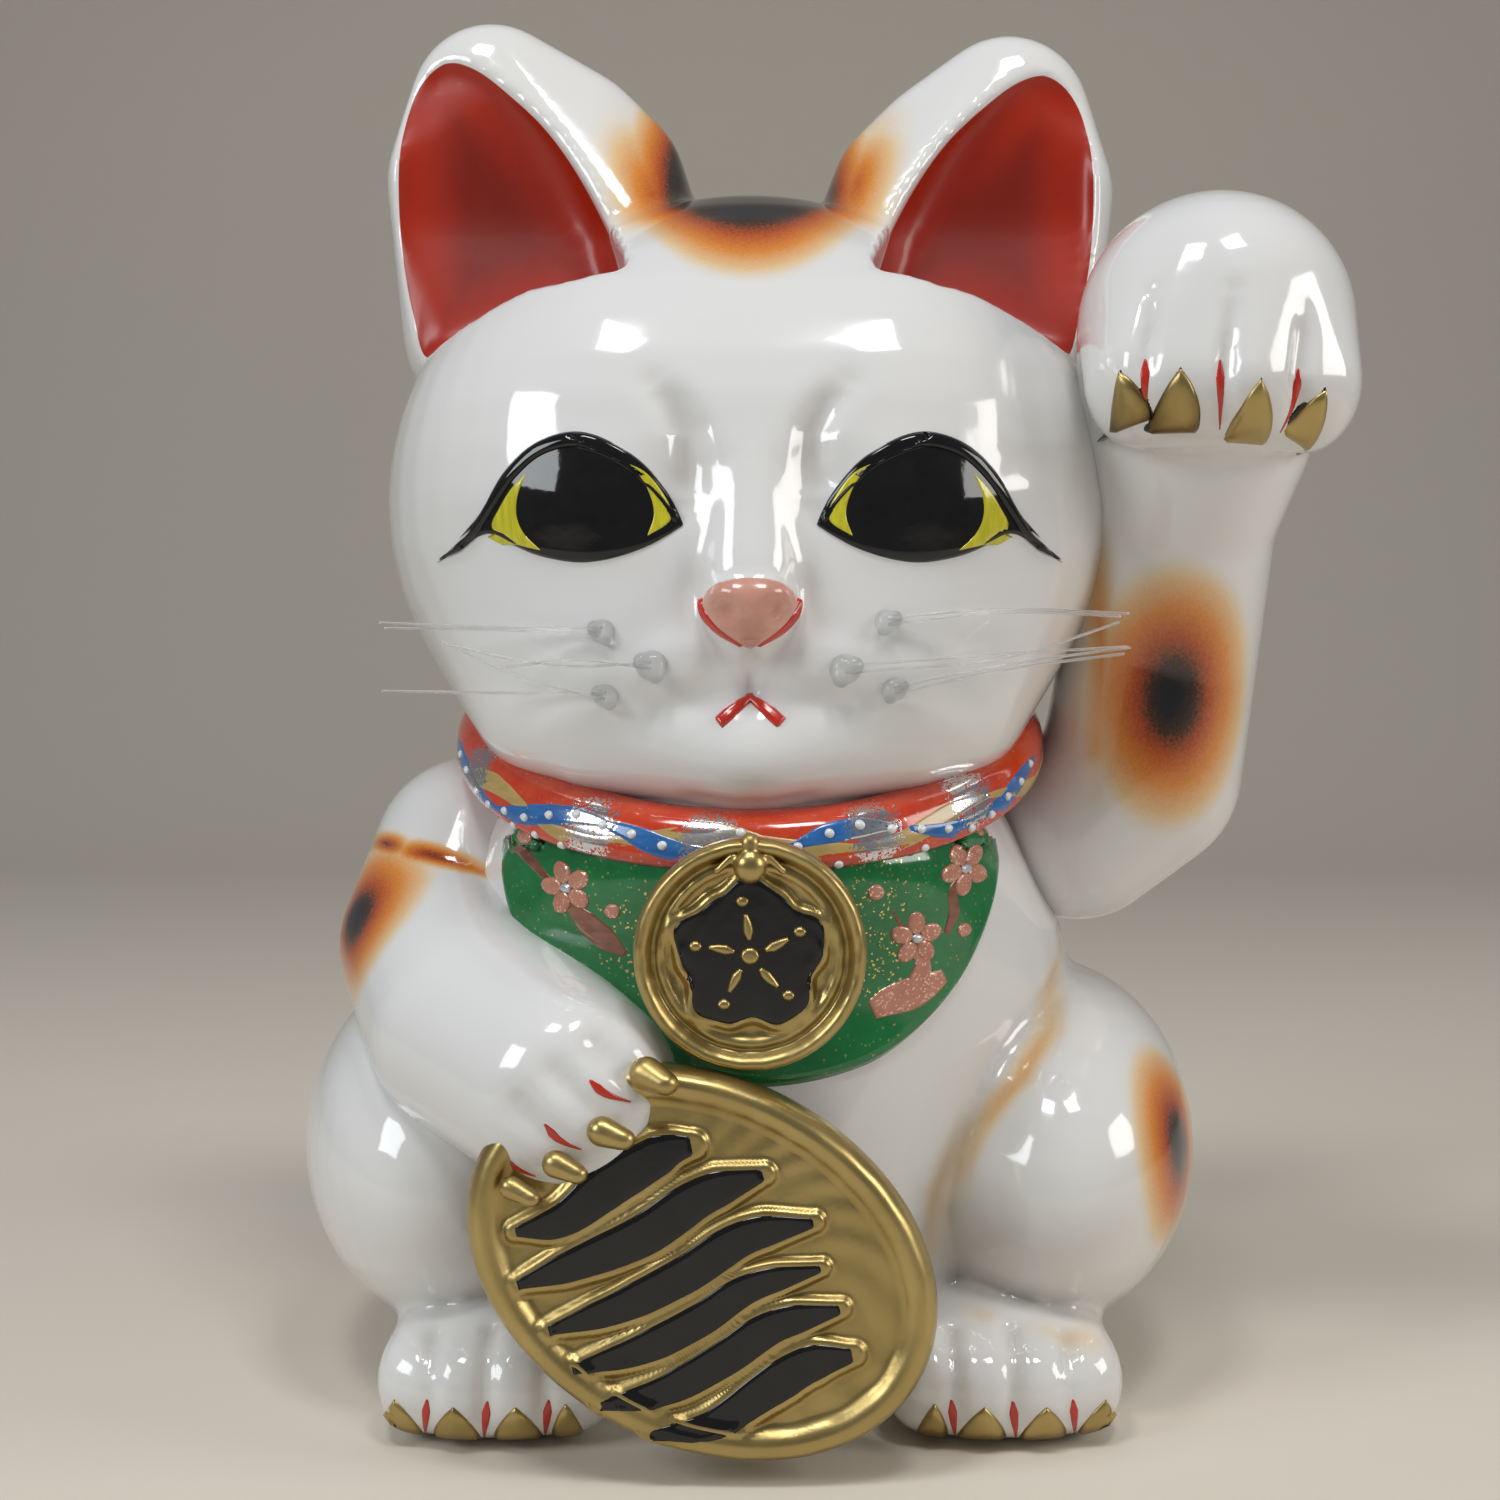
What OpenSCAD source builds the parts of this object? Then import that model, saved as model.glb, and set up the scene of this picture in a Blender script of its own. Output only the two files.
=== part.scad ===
// Beckoning cat figurine, seated, with one paw raised and the other on an oval coin.
// Hollow glazed castings are luted together and carry pressed ornaments, nylon whiskers
// bonded with clear glue, and a soft stopper in the drain hole of the underside.
// The cat faces -Y, +Z is up, and the origin is the middle of the underside.

/* [Castings] */
// Wall thickness of the hollow castings
wall = 5; // [4:0.5:6]

/* [Head] */
// Half width of the head at the cheeks
head_half_w = 89; // [84:1:92]
// Height of the cheeks' middle above the underside
head_z = 208; // [205:1:210]
// Height of the crown between the ears
crown_z = 285; // [280:1:288]
// Half depth of the head
head_half_d = 76; // [72:1:78]
// Distance of the head's middle in front of the origin
head_forward = 12; // [10:1:14]
// Height of the ear tips, the tallest point
total_h = 330; // [326:1:334]

/* [Body] */
// Half width across the haunches
haunch_half_w = 110; // [106:1:114]
// Half width of the torso below the arms
torso_half_w = 81; // [78:1:83]
// Height of a haunch
haunch_h = 98; // [92:1:102]
// Distance of the toes in front of the origin
toe_front = 97; // [94:1:99]
// Distance of the rump behind the origin
rump_back = 93; // [90:1:96]

/* [Raised arm] */
// Distance of the raised arm from the middle plane
arm_x = 101; // [100:1:104]
// Height of the raised paw's middle
raised_paw_z = 247; // [244:1:250]
// Radius of the raised paw
raised_paw_r = 32.5; // [30:0.5:34]

/* [Coin] */
// Half length of the coin
coin_a = 52; // [48:1:54]
// Half width of the coin
coin_b = 38.5; // [36:0.5:40]
// Thickness of the coin
coin_t = 13; // [10:1:14]
// Angle of the coin's long axis below the horizontal
coin_tilt = 27; // [20:1:35]

/* [Collar and medal] */
// Height of the collar band
collar_h = 21; // [18:1:22]
// Slope of the collar, lower at the front
collar_slope = 10.5; // [8:0.5:12]
// Radius of the medal
medal_r = 24; // [22:0.5:25]
// Thickness of the medal
medal_t = 8; // [6:0.5:9]

/* [Underside] */
// Radius of the slab that closes the underside
plate_r = 60; // [56:1:62]
// Thickness of the slab
plate_t = 8; // [7:1:9]
// Radius of the drain hole
drain_r = 13; // [11:0.5:14]
// Gap around the stopper
stopper_gap = 0.3; // [0.3:0.05:0.5]

/* [Whiskers] */
// Diameter of a nylon filament
filament_d = 0.8; // [0.6:0.1:1.2]
// Length of a whisker
whisker_l = 50; // [40:1:55]

/* [Hidden] */

facets = 24;            // sides of each round form inside a hull
round_facets = 96;      // sides of the other round forms
left = -1;              // towards -X
right = 1;              // towards +X

glaze = "#f2efe8";
gold = "#a98338";
enamel_red = "#a3231b";
enamel_green = "#0d4a22";
clay = "#c9a888";
clear_glue = "#d9d6c8";
nylon = "#efeee6";

head_c = [0, -head_forward, head_z];
cheek_x = 24;
cheek_r = [head_half_w - cheek_x, head_half_d, 68];
crown_r = [70, 66, 63];
crown_c = [0, -5, crown_z - crown_r.z];
collar_c = [0, -18, 144];           // middle of the collar's ring
neck_c = [0, -18, 126];             // front of the neck, below the chin
nape_c = [0, 4, 142];               // back of the neck, under the head
neck_half_w = 65;
neck_half_d = 75;
neck_hole_r = 36;
drain_c = [0, 22, 0];
counterbore_r = drain_r + 5;
counterbore_h = 4;
coin_c = [-10, -98, 45];
coin_lean = 4;                      // degrees that the coin leans back
medal_c = [0, -96.5, 111];

// A ball with three radii.
module ball(c, r) translate(c) scale(r) sphere(r = 1, $fn = facets);

// A limb: each ball joined to the next one, all shrunk by the inset t.
module limb(balls, t = 0) {
  for (i = [0:len(balls) - 2])
    hull() {
      ball(balls[i][0], balls[i][1] - [t, t, t]);
      ball(balls[i + 1][0], balls[i + 1][1] - [t, t, t]);
    }
}

// Everything below the surface that the cat stands on.
module below_ground() translate([-200, -200, -100]) cube([400, 400, 100]);

// Torso with haunches and hind feet, shrunk by the inset t.
module torso_form(t = 0) {
  hull() {
    ball(neck_c, [neck_half_w, neck_half_d, 26] - [t, t, t]);
    ball(nape_c, [58, 54, 26] - [t, t, t]);
    ball([0, -10, 98], [torso_half_w, 76, 40] - [t, t, t]);
  }
  hull() {
    ball([0, -10, 98], [torso_half_w, 76, 40] - [t, t, t]);
    ball([0, -22, 58], [46, 76, 40] - [t, t, t]);
    ball([0, 6, 50], [92, rump_back - 6, 46] - [t, t, t]);
    translate([0, 6, t]) scale([84 - t, 78 - t, 1]) cylinder(h = 1, r = 1, $fn = facets);
  }
  for (s = [left, right]) {
    haunch_r = [40, 71, haunch_h / 2 - 4];
    hull() {
      ball([s * (haunch_half_w - haunch_r.x), -15, haunch_h / 2 + 3], haunch_r - [t, t, t]);
      ball([s * 58, 22, 44], [42, 55, 42] - [t, t, t]);
    }
    hull() {
      for (x = [41, 73]) ball([s * x, -toe_front + 13, 11], [11, 13, 11] - [t, t, t]);
      ball([s * 57, -toe_front + 17, 13], [20, 17, 13] - [t, t, t]);
      ball([s * 57, -48, 15], [25, 24, 20] - [t, t, t]);
    }
  }
}

// Head without ears, shrunk by the inset t.
module skull_form(t = 0) {
  hull() {
    for (s = [left, right]) ball(head_c + [s * cheek_x, 0, 0], cheek_r - [t, t, t]);
    ball(crown_c, crown_r - [t, t, t]);
    ball([0, -34, 172], [68, 56, 34] - [t, t, t]);
  }
  hull() {
    for (s = [left, right]) ball([s * 15, -68, 170], [21, 27, 17] - [t, t, t]);
    ball([0, -60, 158], [28, 26, 20] - [t, t, t]);
    ball([0, -70, 183], [13, 31, 12] - [t, t, t]);
  }
}

// One ear: a thick rounded triangle with a scooped front.
module ear(s) {
  difference() {
    hull() {
      ball([s * 65, 2, total_h - 21], [21, 13, 21]);
      ball([s * 76, 0, 290], [15.5, 16, 18]);
      ball([s * 70, 4, 252], [18, 27, 20]);
      ball([s * 28, 2, 268], [17, 28, 20]);
    }
    hull() {
      ball([s * 70, -17, 308], [10, 10, 11]);
      ball([s * 79, -27, 254], [7, 12, 8]);
      ball([s * 38, -34, 268], [7, 12, 7]);
      ball([s * 62, -15, 278], [14, 13, 14]);
    }
  }
}

function raised_arm_balls() = [
  [[82, -12, 126], [23, 27, 23]],
  [[arm_x - 4, -15, 142], [25, 27, 25]],
  [[arm_x, -18, 172], [24, 25, 26]],
  [[arm_x + 2, -27, 206], [24, 25, 25]],
  [[arm_x + 6, -50, raised_paw_z], [raised_paw_r, 34, 31]]
];

module raised_arm_form(t = 0) {
  limb(raised_arm_balls(), t);
  hull() {
    ball([arm_x + 6, -50, raised_paw_z], [raised_paw_r, 34, 31] - [t, t, t]);
    ball([arm_x + 5, -66, raised_paw_z - 9], [raised_paw_r - 1, 23, 22] - [t, t, t]);
  }
}

function lowered_arm_balls() = [
  [[-68, -12, 122], [26, 30, 24]],
  [[-73, -28, 101], [27, 31, 26]],
  [[-60, -64, 87], [27, 28, 26]],
  [[-39, -93, 79], [24, 21, 23]]
];

module lowered_arm_form(t = 0) limb(lowered_arm_balls(), t);

// Hollow casting of the torso, open at the neck and the underside.
module body_shell() {
  color(glaze) difference() {
    torso_form();
    difference() {
      torso_form(wall);
      translate([0, 0, wall]) below_ground();
    }
    below_ground();
    translate([0, 0, -1]) cylinder(h = plate_t + 1, r = plate_r + 0.1, $fn = round_facets);
    translate(nape_c) cylinder(h = 40, r = neck_hole_r, $fn = round_facets);
  }
}

// Hollow casting of the head with both ears, open at the neck.
module head_shell() {
  color(glaze) difference() {
    union() {
      skull_form();
      for (s = [left, right]) ear(s);
    }
    skull_form(wall);
    torso_form();
    translate(nape_c) cylinder(h = 40, r = neck_hole_r, $fn = round_facets);
  }
}

// Hollow casting of the beckoning arm, open where it is luted to the shoulder.
module raised_arm() {
  color(glaze) difference() {
    raised_arm_form();
    raised_arm_form(wall);
    torso_form();
    skull_form();
    ear(right);
    collar_ring();
  }
}

// Hollow casting of the arm that holds the coin, open at the shoulder.
module lowered_arm() {
  color(glaze) difference() {
    lowered_arm_form();
    lowered_arm_form(wall);
    torso_form();
    skull_form();
    collar_ring();
    bib_form();
    translate([0, neck_c.y, neck_c.z - 20]) scale([1, neck_half_d / neck_half_w, 1])
      cylinder(h = 60, r = neck_half_w - 4, $fn = round_facets);
  }
}

// Short curled tail luted low on the back.
module tail() {
  color(glaze) difference() {
    limb([
      [[14, rump_back - 14, 24], [13, 13, 13]],
      [[30, rump_back - 9, 26], [13, 12, 13]],
      [[42, rump_back - 12, 38], [12, 12, 12]],
      [[38, rump_back - 12, 52], [10, 11, 10]]
    ]);
    torso_form();
  }
}

// Rounded section of the collar band.
module collar_section() {
  hull()
    for (z = [-1, 1]) translate([neck_half_w - 1, z * (collar_h / 2 - 5)]) circle(r = 5, $fn = 24);
}

module collar_ring() {
  translate(collar_c) rotate([collar_slope, 0, 0])
    scale([1, neck_half_d / neck_half_w, 1])
      rotate_extrude($fn = round_facets) collar_section();
}

// Pressed band around the neck.
module collar() {
  color(enamel_red) difference() {
    collar_ring();
    torso_form();
    skull_form();
  }
}

// Distance of the bib's face in front of the origin, over the chest.
function bib_front(x, z) = 97 - 26 * pow(x / 60, 2) - 9 * pow((130 - z) / 50, 2);

// Lower edge of the bib: a round scoop that ends at both sides.
function bib_low(x) = 84 + 40 * pow(abs(x) / 60, 3);

// Pressed neckerchief panel, filled out behind to meet the chest.
module bib_form() {
  columns = 24;
  rows = 8;
  thick = 22;
  top_z = 134;
  half_w = 60;
  grid = [for (i = [0:columns]) let (x = half_w * (2 * i / columns - 1))
    [for (j = [0:rows]) let (z = bib_low(x) + (top_z - bib_low(x)) * j / rows) [x, z]]];
  stride = rows + 1;
  count = (columns + 1) * stride;
  face = [for (col = grid) for (p = col) [p.x, -bib_front(p.x, p.y), p.y]];
  back = [for (col = grid) for (p = col) [p.x, thick - bib_front(p.x, p.y), p.y]];
  quads = [for (i = [0:columns - 1]) for (j = [0:rows - 1])
    [i * stride + j, (i + 1) * stride + j, (i + 1) * stride + j + 1, i * stride + j + 1]];
  rim = concat(
    [for (i = [0:columns - 1]) [i * stride, (i + 1) * stride]],
    [for (j = [0:rows - 1]) [columns * stride + j, columns * stride + j + 1]],
    [for (i = [columns:-1:1]) [i * stride + rows, (i - 1) * stride + rows]],
    [for (j = [rows:-1:1]) [j, j - 1]]
  );
  polyhedron(
    points = concat(face, back),
    faces = concat(
      [for (q = quads) [q[3], q[2], q[1], q[0]]],
      [for (q = quads) [for (k = q) k + count]],
      [for (e = rim) [e[0], e[1], e[1] + count, e[0] + count]]
    )
  );
}

module bib() {
  color(enamel_green) difference() {
    bib_form();
    torso_form();
    skull_form();
    collar_ring();
  }
}

// Pressed round pendant: rim, sunk field and a boss for its hanger.
module medal() {
  rim_w = 5;
  color(gold) translate(medal_c) rotate([90, 0, 0]) {
    rotate_extrude($fn = round_facets) polygon([
      [0, 0], [medal_r, 0], [medal_r, medal_t - 2], [medal_r - 2, medal_t],
      [medal_r - rim_w, medal_t], [medal_r - rim_w - 1.5, medal_t - 2], [0, medal_t - 2]
    ]);
    translate([0, medal_r - 5, medal_t - 3]) cylinder(h = 4.5, r1 = 4, r2 = 3, $fn = round_facets);
  }
}

// An oval slice, d inside the coin's outline and h thick, from the height z.
module oval(d, z, h) translate([0, 0, z]) scale([coin_a - d, coin_b - d, 1]) cylinder(h = h, r = 1, $fn = 64);

// Oval coin with a rounded edge, a raised rim and a shallow field.
module coin_form() {
  field_depth = 2;
  translate(coin_c) rotate([90 - coin_lean, 0, 0]) rotate([0, 0, -coin_tilt])
    difference() {
      hull() {
        oval(2, 0, coin_t);
        oval(0, 3, coin_t - 6);
      }
      hull() {
        oval(9, coin_t - field_depth, field_depth);
        oval(7, coin_t, 1);
      }
    }
}

module coin() {
  color(gold) difference() {
    coin_form();
    lowered_arm_form();
  }
}

// Slab that closes the underside, with the drain hole and a recess for the stopper.
module base_plate() {
  color(clay) difference() {
    cylinder(h = plate_t, r = plate_r, $fn = round_facets);
    translate(drain_c - [0, 0, 1]) cylinder(h = plate_t + 2, r = drain_r, $fn = round_facets);
    translate(drain_c - [0, 0, 1]) cylinder(h = counterbore_h + 1, r = counterbore_r, $fn = round_facets);
  }
}

// Soft stopper: a flange in the recess, a plug in the hole and a finger dimple below.
module base_stopper() {
  flange_r = counterbore_r - stopper_gap;
  plug_r = drain_r - stopper_gap;
  flange_low = 0.8;
  flange_top = counterbore_h - stopper_gap;
  plug_top = plate_t + 8;
  color("dimgray") translate(drain_c) rotate_extrude($fn = round_facets) polygon([
    [0, flange_top], [5, flange_top], [6, flange_low], [flange_r, flange_low],
    [flange_r, flange_top], [plug_r, flange_top], [plug_r, plug_top - 2], [plug_r - 2, plug_top],
    [plug_r - 4, plug_top], [plug_r - 4, flange_top + 2], [0, flange_top + 2]
  ]);
}

// Where a dab of glue sits on the cheek: row 0 is the upper one, row 2 the lower one.
dab_x = [31, 20.5, 31];
dab_y = [-84.5, -93, -83.5];
dab_z = [178, 170, 164];
dab_r = [[2.6, 3, 3.6], [3.8, 3.6, 4], [2.6, 3, 3.4]];

module glue_dab(s, row) color(clear_glue) ball([s * dab_x[row], dab_y[row], dab_z[row]], dab_r[row]);

// Two nylon filaments that spread from one dab: rise holds the slope of each in degrees.
rise = [[2, -1], [5, -8], [9, -3]];
sweep_back = [2, 5, 0];             // degrees that each pair turns towards the back

module whisker_pair(s, row) {
  reach = [1, 0.92, 0.98][row] * whisker_l;
  color(nylon) for (k = [0, 1])
    translate([s * dab_x[row], dab_y[row] - 1.2, dab_z[row] + 1.2 - 2.4 * k])
      rotate([0, 0, s * sweep_back[row]]) rotate([0, s * (90 - rise[row][k]), 0])
        cylinder(h = reach, d = filament_d, $fn = 16);
}

body_shell();
head_shell();
raised_arm();
lowered_arm();
tail();
collar();
bib();
medal();
coin();
base_plate();
base_stopper();
glue_dab(left, 0);  // glue_left_upper
glue_dab(left, 1);  // glue_left_middle
glue_dab(left, 2);  // glue_left_lower
glue_dab(right, 0);  // glue_right_upper
glue_dab(right, 1);  // glue_right_middle
glue_dab(right, 2);  // glue_right_lower
whisker_pair(left, 0);  // whiskers_left_upper
whisker_pair(left, 1);  // whiskers_left_middle
whisker_pair(left, 2);  // whiskers_left_lower
whisker_pair(right, 0);  // whiskers_right_upper
whisker_pair(right, 1);  // whiskers_right_middle
whisker_pair(right, 2);  // whiskers_right_lower
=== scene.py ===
import math

import bmesh
import bpy
import numpy as np
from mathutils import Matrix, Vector
from mathutils.bvhtree import BVHTree


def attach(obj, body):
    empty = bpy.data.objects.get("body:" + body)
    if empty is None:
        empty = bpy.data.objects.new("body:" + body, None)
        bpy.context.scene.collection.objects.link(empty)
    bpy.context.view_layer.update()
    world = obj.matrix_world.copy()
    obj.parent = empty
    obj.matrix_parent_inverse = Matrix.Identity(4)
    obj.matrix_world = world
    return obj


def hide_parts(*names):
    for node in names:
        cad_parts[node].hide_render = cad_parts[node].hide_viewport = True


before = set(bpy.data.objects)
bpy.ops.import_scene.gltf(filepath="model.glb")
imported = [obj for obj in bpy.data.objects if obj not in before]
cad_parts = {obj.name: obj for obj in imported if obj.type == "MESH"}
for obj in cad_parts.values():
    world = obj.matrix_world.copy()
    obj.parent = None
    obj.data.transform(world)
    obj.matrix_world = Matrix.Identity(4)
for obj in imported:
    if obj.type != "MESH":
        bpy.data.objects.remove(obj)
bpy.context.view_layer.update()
MM = 0.001


# ---------------------------------------------------------------------------------------
# The table and the studio. A pale sweep that curves up behind the cat, one large soft light
# on each side, two small ones above, and the camera at the height of the cat's face.
# ---------------------------------------------------------------------------------------
def light(name, place, aim, size, watts, tint=(1, 1, 1)):
    """One soft box: a square area light that points at aim."""
    lamp = bpy.data.lights.new(name, "AREA")
    lamp.size = size
    lamp.energy = watts
    lamp.color = tint
    holder = bpy.data.objects.new(name, lamp)
    holder.location = place
    holder.rotation_euler = (Vector(aim) - Vector(place)).to_track_quat("-Z", "Y").to_euler()
    bpy.context.collection.objects.link(holder)


light("window_left", (-0.95, -0.62, 0.72), (0, 0, 0.16), 0.5, 5.2, (0.92, 0.97, 1.0))
light("window_right", (1.0, -0.35, 0.55), (0, 0, 0.16), 0.45, 3.8, (1.0, 0.97, 0.93))
light("ceiling_left", (-0.25, -0.42, 1.15), (0, 0, 0.2), 0.22, 2.8)
light("ceiling_right", (0.2, -0.42, 1.15), (0, 0, 0.2), 0.22, 2.8)

camera_data = bpy.data.cameras.new("camera")
camera_data.sensor_width = 36
camera_data.lens = 51.6
camera_data.clip_start = 0.01
camera = bpy.data.objects.new("camera", camera_data)
camera.location = (0, -0.55, 0.18)
camera.rotation_euler = (math.radians(90 - 3.46), 0, 0)
bpy.context.collection.objects.link(camera)
bpy.context.scene.camera = camera

world = bpy.data.worlds.new("room")
world.use_nodes = True
world.node_tree.nodes["Background"].inputs["Color"].default_value = (0.78, 0.8, 0.84, 1)
world.node_tree.nodes["Background"].inputs["Strength"].default_value = 0.22
bpy.context.scene.world = world
bpy.context.scene.view_settings.view_transform = "Standard"


def pick_none():
    bpy.ops.object.select_all(action="DESELECT")


def make_sweep():
    """A flat sheet whose far edge is drawn up into a wall, rounded where it bends."""
    pick_none()
    bpy.ops.mesh.primitive_plane_add(size=3.0, location=(0, 0.2, -0.0006))
    sweep = bpy.context.object
    sweep.name = "studio_sweep"
    bpy.ops.object.transform_apply()
    bpy.ops.object.mode_set(mode="EDIT")
    bpy.ops.mesh.select_mode(type="EDGE")
    bpy.ops.mesh.select_all(action="DESELECT")
    shape = bmesh.from_edit_mesh(sweep.data)
    for edge in shape.edges:
        edge.select = all(v.co.y > 1.6 for v in edge.verts)
    bmesh.update_edit_mesh(sweep.data)
    bpy.ops.mesh.extrude_region_move(TRANSFORM_OT_translate={"value": (0, 0, 2.2)})
    bpy.ops.object.mode_set(mode="OBJECT")
    bend = sweep.modifiers.new("bend", "BEVEL")
    bend.width = 0.7
    bend.segments = 16
    bpy.ops.object.modifier_apply(modifier=bend.name)
    bpy.ops.object.shade_smooth()
    paper = bpy.data.materials.new("pale_paper")
    paper.use_nodes = True
    shader = paper.node_tree.nodes["Principled BSDF"]
    shader.inputs["Base Color"].default_value = (0.74, 0.68, 0.59, 1)
    shader.inputs["Roughness"].default_value = 0.7
    sweep.data.materials.append(paper)


make_sweep()


# ---------------------------------------------------------------------------------------
# Body casting: torso, haunches and hind feet in one piece, slip-cast in a two-part mould,
# hollow, and glazed white. Soft lumps of the plaster model run into each other.
# ---------------------------------------------------------------------------------------
def ball(place, radii, tilt=0):
    """A lump of the plaster model: a sphere with three radii, leant sideways by tilt degrees."""
    pick_none()
    bpy.ops.mesh.primitive_uv_sphere_add(segments=40, ring_count=20, radius=MM)
    lump = bpy.context.object
    lump.scale = radii
    lump.rotation_euler = (0, math.radians(tilt), 0)
    lump.location = Vector(place) * MM
    bpy.ops.object.transform_apply()
    return lump


def joined(lumps):
    """The lumps as one object, still with their own skins."""
    pick_none()
    for lump in lumps:
        lump.select_set(True)
    bpy.context.view_layer.objects.active = lumps[0]
    if len(lumps) > 1:
        bpy.ops.object.join()
    return bpy.context.object


def stretched_over(lumps):
    """One tight skin over all the lumps, as a sheet of clay pulled over them."""
    body = joined(lumps)
    bpy.ops.object.mode_set(mode="EDIT")
    bpy.ops.mesh.select_all(action="SELECT")
    bpy.ops.mesh.convex_hull()
    bpy.ops.object.mode_set(mode="OBJECT")
    return body


def limb(balls):
    """A limb: each ball run into the next."""
    return [stretched_over([ball(*a), ball(*b)]) for a, b in zip(balls, balls[1:])]


def use_modifier(piece, kind, **settings):
    """Adds a modifier to the piece and applies it."""
    pick_none()
    piece.select_set(True)
    bpy.context.view_layer.objects.active = piece
    modifier = piece.modifiers.new(kind.lower(), kind)
    for key, value in settings.items():
        setattr(modifier, key, value)
    bpy.ops.object.modifier_apply(modifier=modifier.name)


def cast(name, lumps, grain, rounds):
    """The lumps as one even skin of small faces, grain mm across, with softened joints."""
    piece = joined(lumps)
    piece.name = name
    piece.data.name = name
    use_modifier(piece, "REMESH", mode="VOXEL", voxel_size=grain * MM)
    use_modifier(piece, "SMOOTH", factor=0.5, iterations=rounds)
    bpy.ops.object.shade_smooth()
    return piece


def skin(piece):
    """The points and the outward directions of a piece, in mm."""
    count = len(piece.data.vertices)
    points = np.empty(count * 3)
    normals = np.empty(count * 3)
    piece.data.vertices.foreach_get("co", points)
    piece.data.vertex_normals.foreach_get("vector", normals)
    return points.reshape(-1, 3) / MM, normals.reshape(-1, 3)


def set_skin(piece, points):
    piece.data.vertices.foreach_set("co", (points * MM).ravel())
    piece.data.update()


def near_line(points, path):
    """Each point's distance from a line of straight stretches, and how far along it lies, 0 to 1."""
    path = np.asarray(path, float)
    spans = np.linalg.norm(np.diff(path, axis=0), axis=1)
    starts = np.concatenate([[0], np.cumsum(spans)])
    best = np.full(len(points), 1e9)
    along = np.zeros(len(points))
    for k, span in enumerate(spans):
        step = path[k + 1] - path[k]
        t = np.clip(((points - path[k]) @ step) / (span * span), 0, 1)
        gap = np.linalg.norm(points - path[k] - t[:, None] * step, axis=1)
        closer = gap < best
        best[closer] = gap[closer]
        along[closer] = (starts[k] + t[closer] * span) / starts[-1]
    return best, along


def press_line(piece, path, width, depth, taper=True):
    """Presses a soft groove along the path with a modelling tool; a negative depth raises a ridge."""
    points, normals = skin(piece)
    gap, along = near_line(points, path)
    push = depth * np.exp(-((gap / width) ** 2))
    if taper:
        push *= np.sin(np.pi * np.clip(along, 0.04, 0.96)) ** 0.5
    set_skin(piece, points - normals * push[:, None])


def press_spot(piece, place, radii, depth):
    """Presses a soft hollow round a place; a negative depth raises a swelling."""
    points, normals = skin(piece)
    reach = np.linalg.norm((points - np.asarray(place)) / np.asarray(radii), axis=1)
    set_skin(piece, points - normals * (depth * np.exp(-reach ** 2))[:, None])


def mirror_x(path):
    return [(-x, y, z) for x, y, z in path]


def layer(piece, name, values):
    """Stores one number for each point of the piece, which its finish reads."""
    held = piece.data.attributes.get(name) or piece.data.attributes.new(name, "FLOAT", "POINT")
    held.data.foreach_set("value", np.asarray(values, np.float32))


def stored(piece, name):
    values = np.zeros(len(piece.data.vertices), np.float32)
    if name in piece.data.attributes:
        piece.data.attributes[name].data.foreach_get("value", values)
    return values


def spray(piece, place, radii, heat, core=0.0):
    """An airbrushed spot: full in its core, then thinner and thinner out to the radii."""
    points, _ = skin(piece)
    reach = np.linalg.norm((points - np.asarray(place)) / np.asarray(radii), axis=1)
    coat = heat * np.clip((1 - reach) / (1 - core), 0, 1)
    layer(piece, "burn", np.maximum(stored(piece, "burn"), coat))


def spray_line(piece, path, width, heat):
    """An airbrushed line along a fold, thin at both ends."""
    points, _ = skin(piece)
    gap, t = near_line(points, path)
    coat = heat * np.clip(1 - gap / width, 0, 1) ** 1.3 * np.sin(np.pi * np.clip(t, 0.06, 0.94)) ** 0.4
    layer(piece, "burn", np.maximum(stored(piece, "burn"), coat))


def paint_hollow_shade(piece, strength):
    """Marks the hollows for painted shade: how deep each point lies in a dip, which the finishes darken."""
    points, normals = skin(piece)
    ends = np.empty(len(piece.data.edges) * 2, np.int64)
    piece.data.edges.foreach_get("vertices", ends)
    a, b = ends.reshape(-1, 2).T
    count = np.bincount(a, minlength=len(points)) + np.bincount(b, minlength=len(points))

    def averaged(values):
        total = np.zeros_like(values)
        np.add.at(total, a, values[b])
        np.add.at(total, b, values[a])
        return total / (count[:, None] if values.ndim == 2 else count)

    dip = ((averaged(points) - points) * normals).sum(axis=1)
    for _ in range(3):
        dip = averaged(dip)
    layer(piece, "hollow_shade", np.clip(dip * strength, 0, 1))


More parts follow.
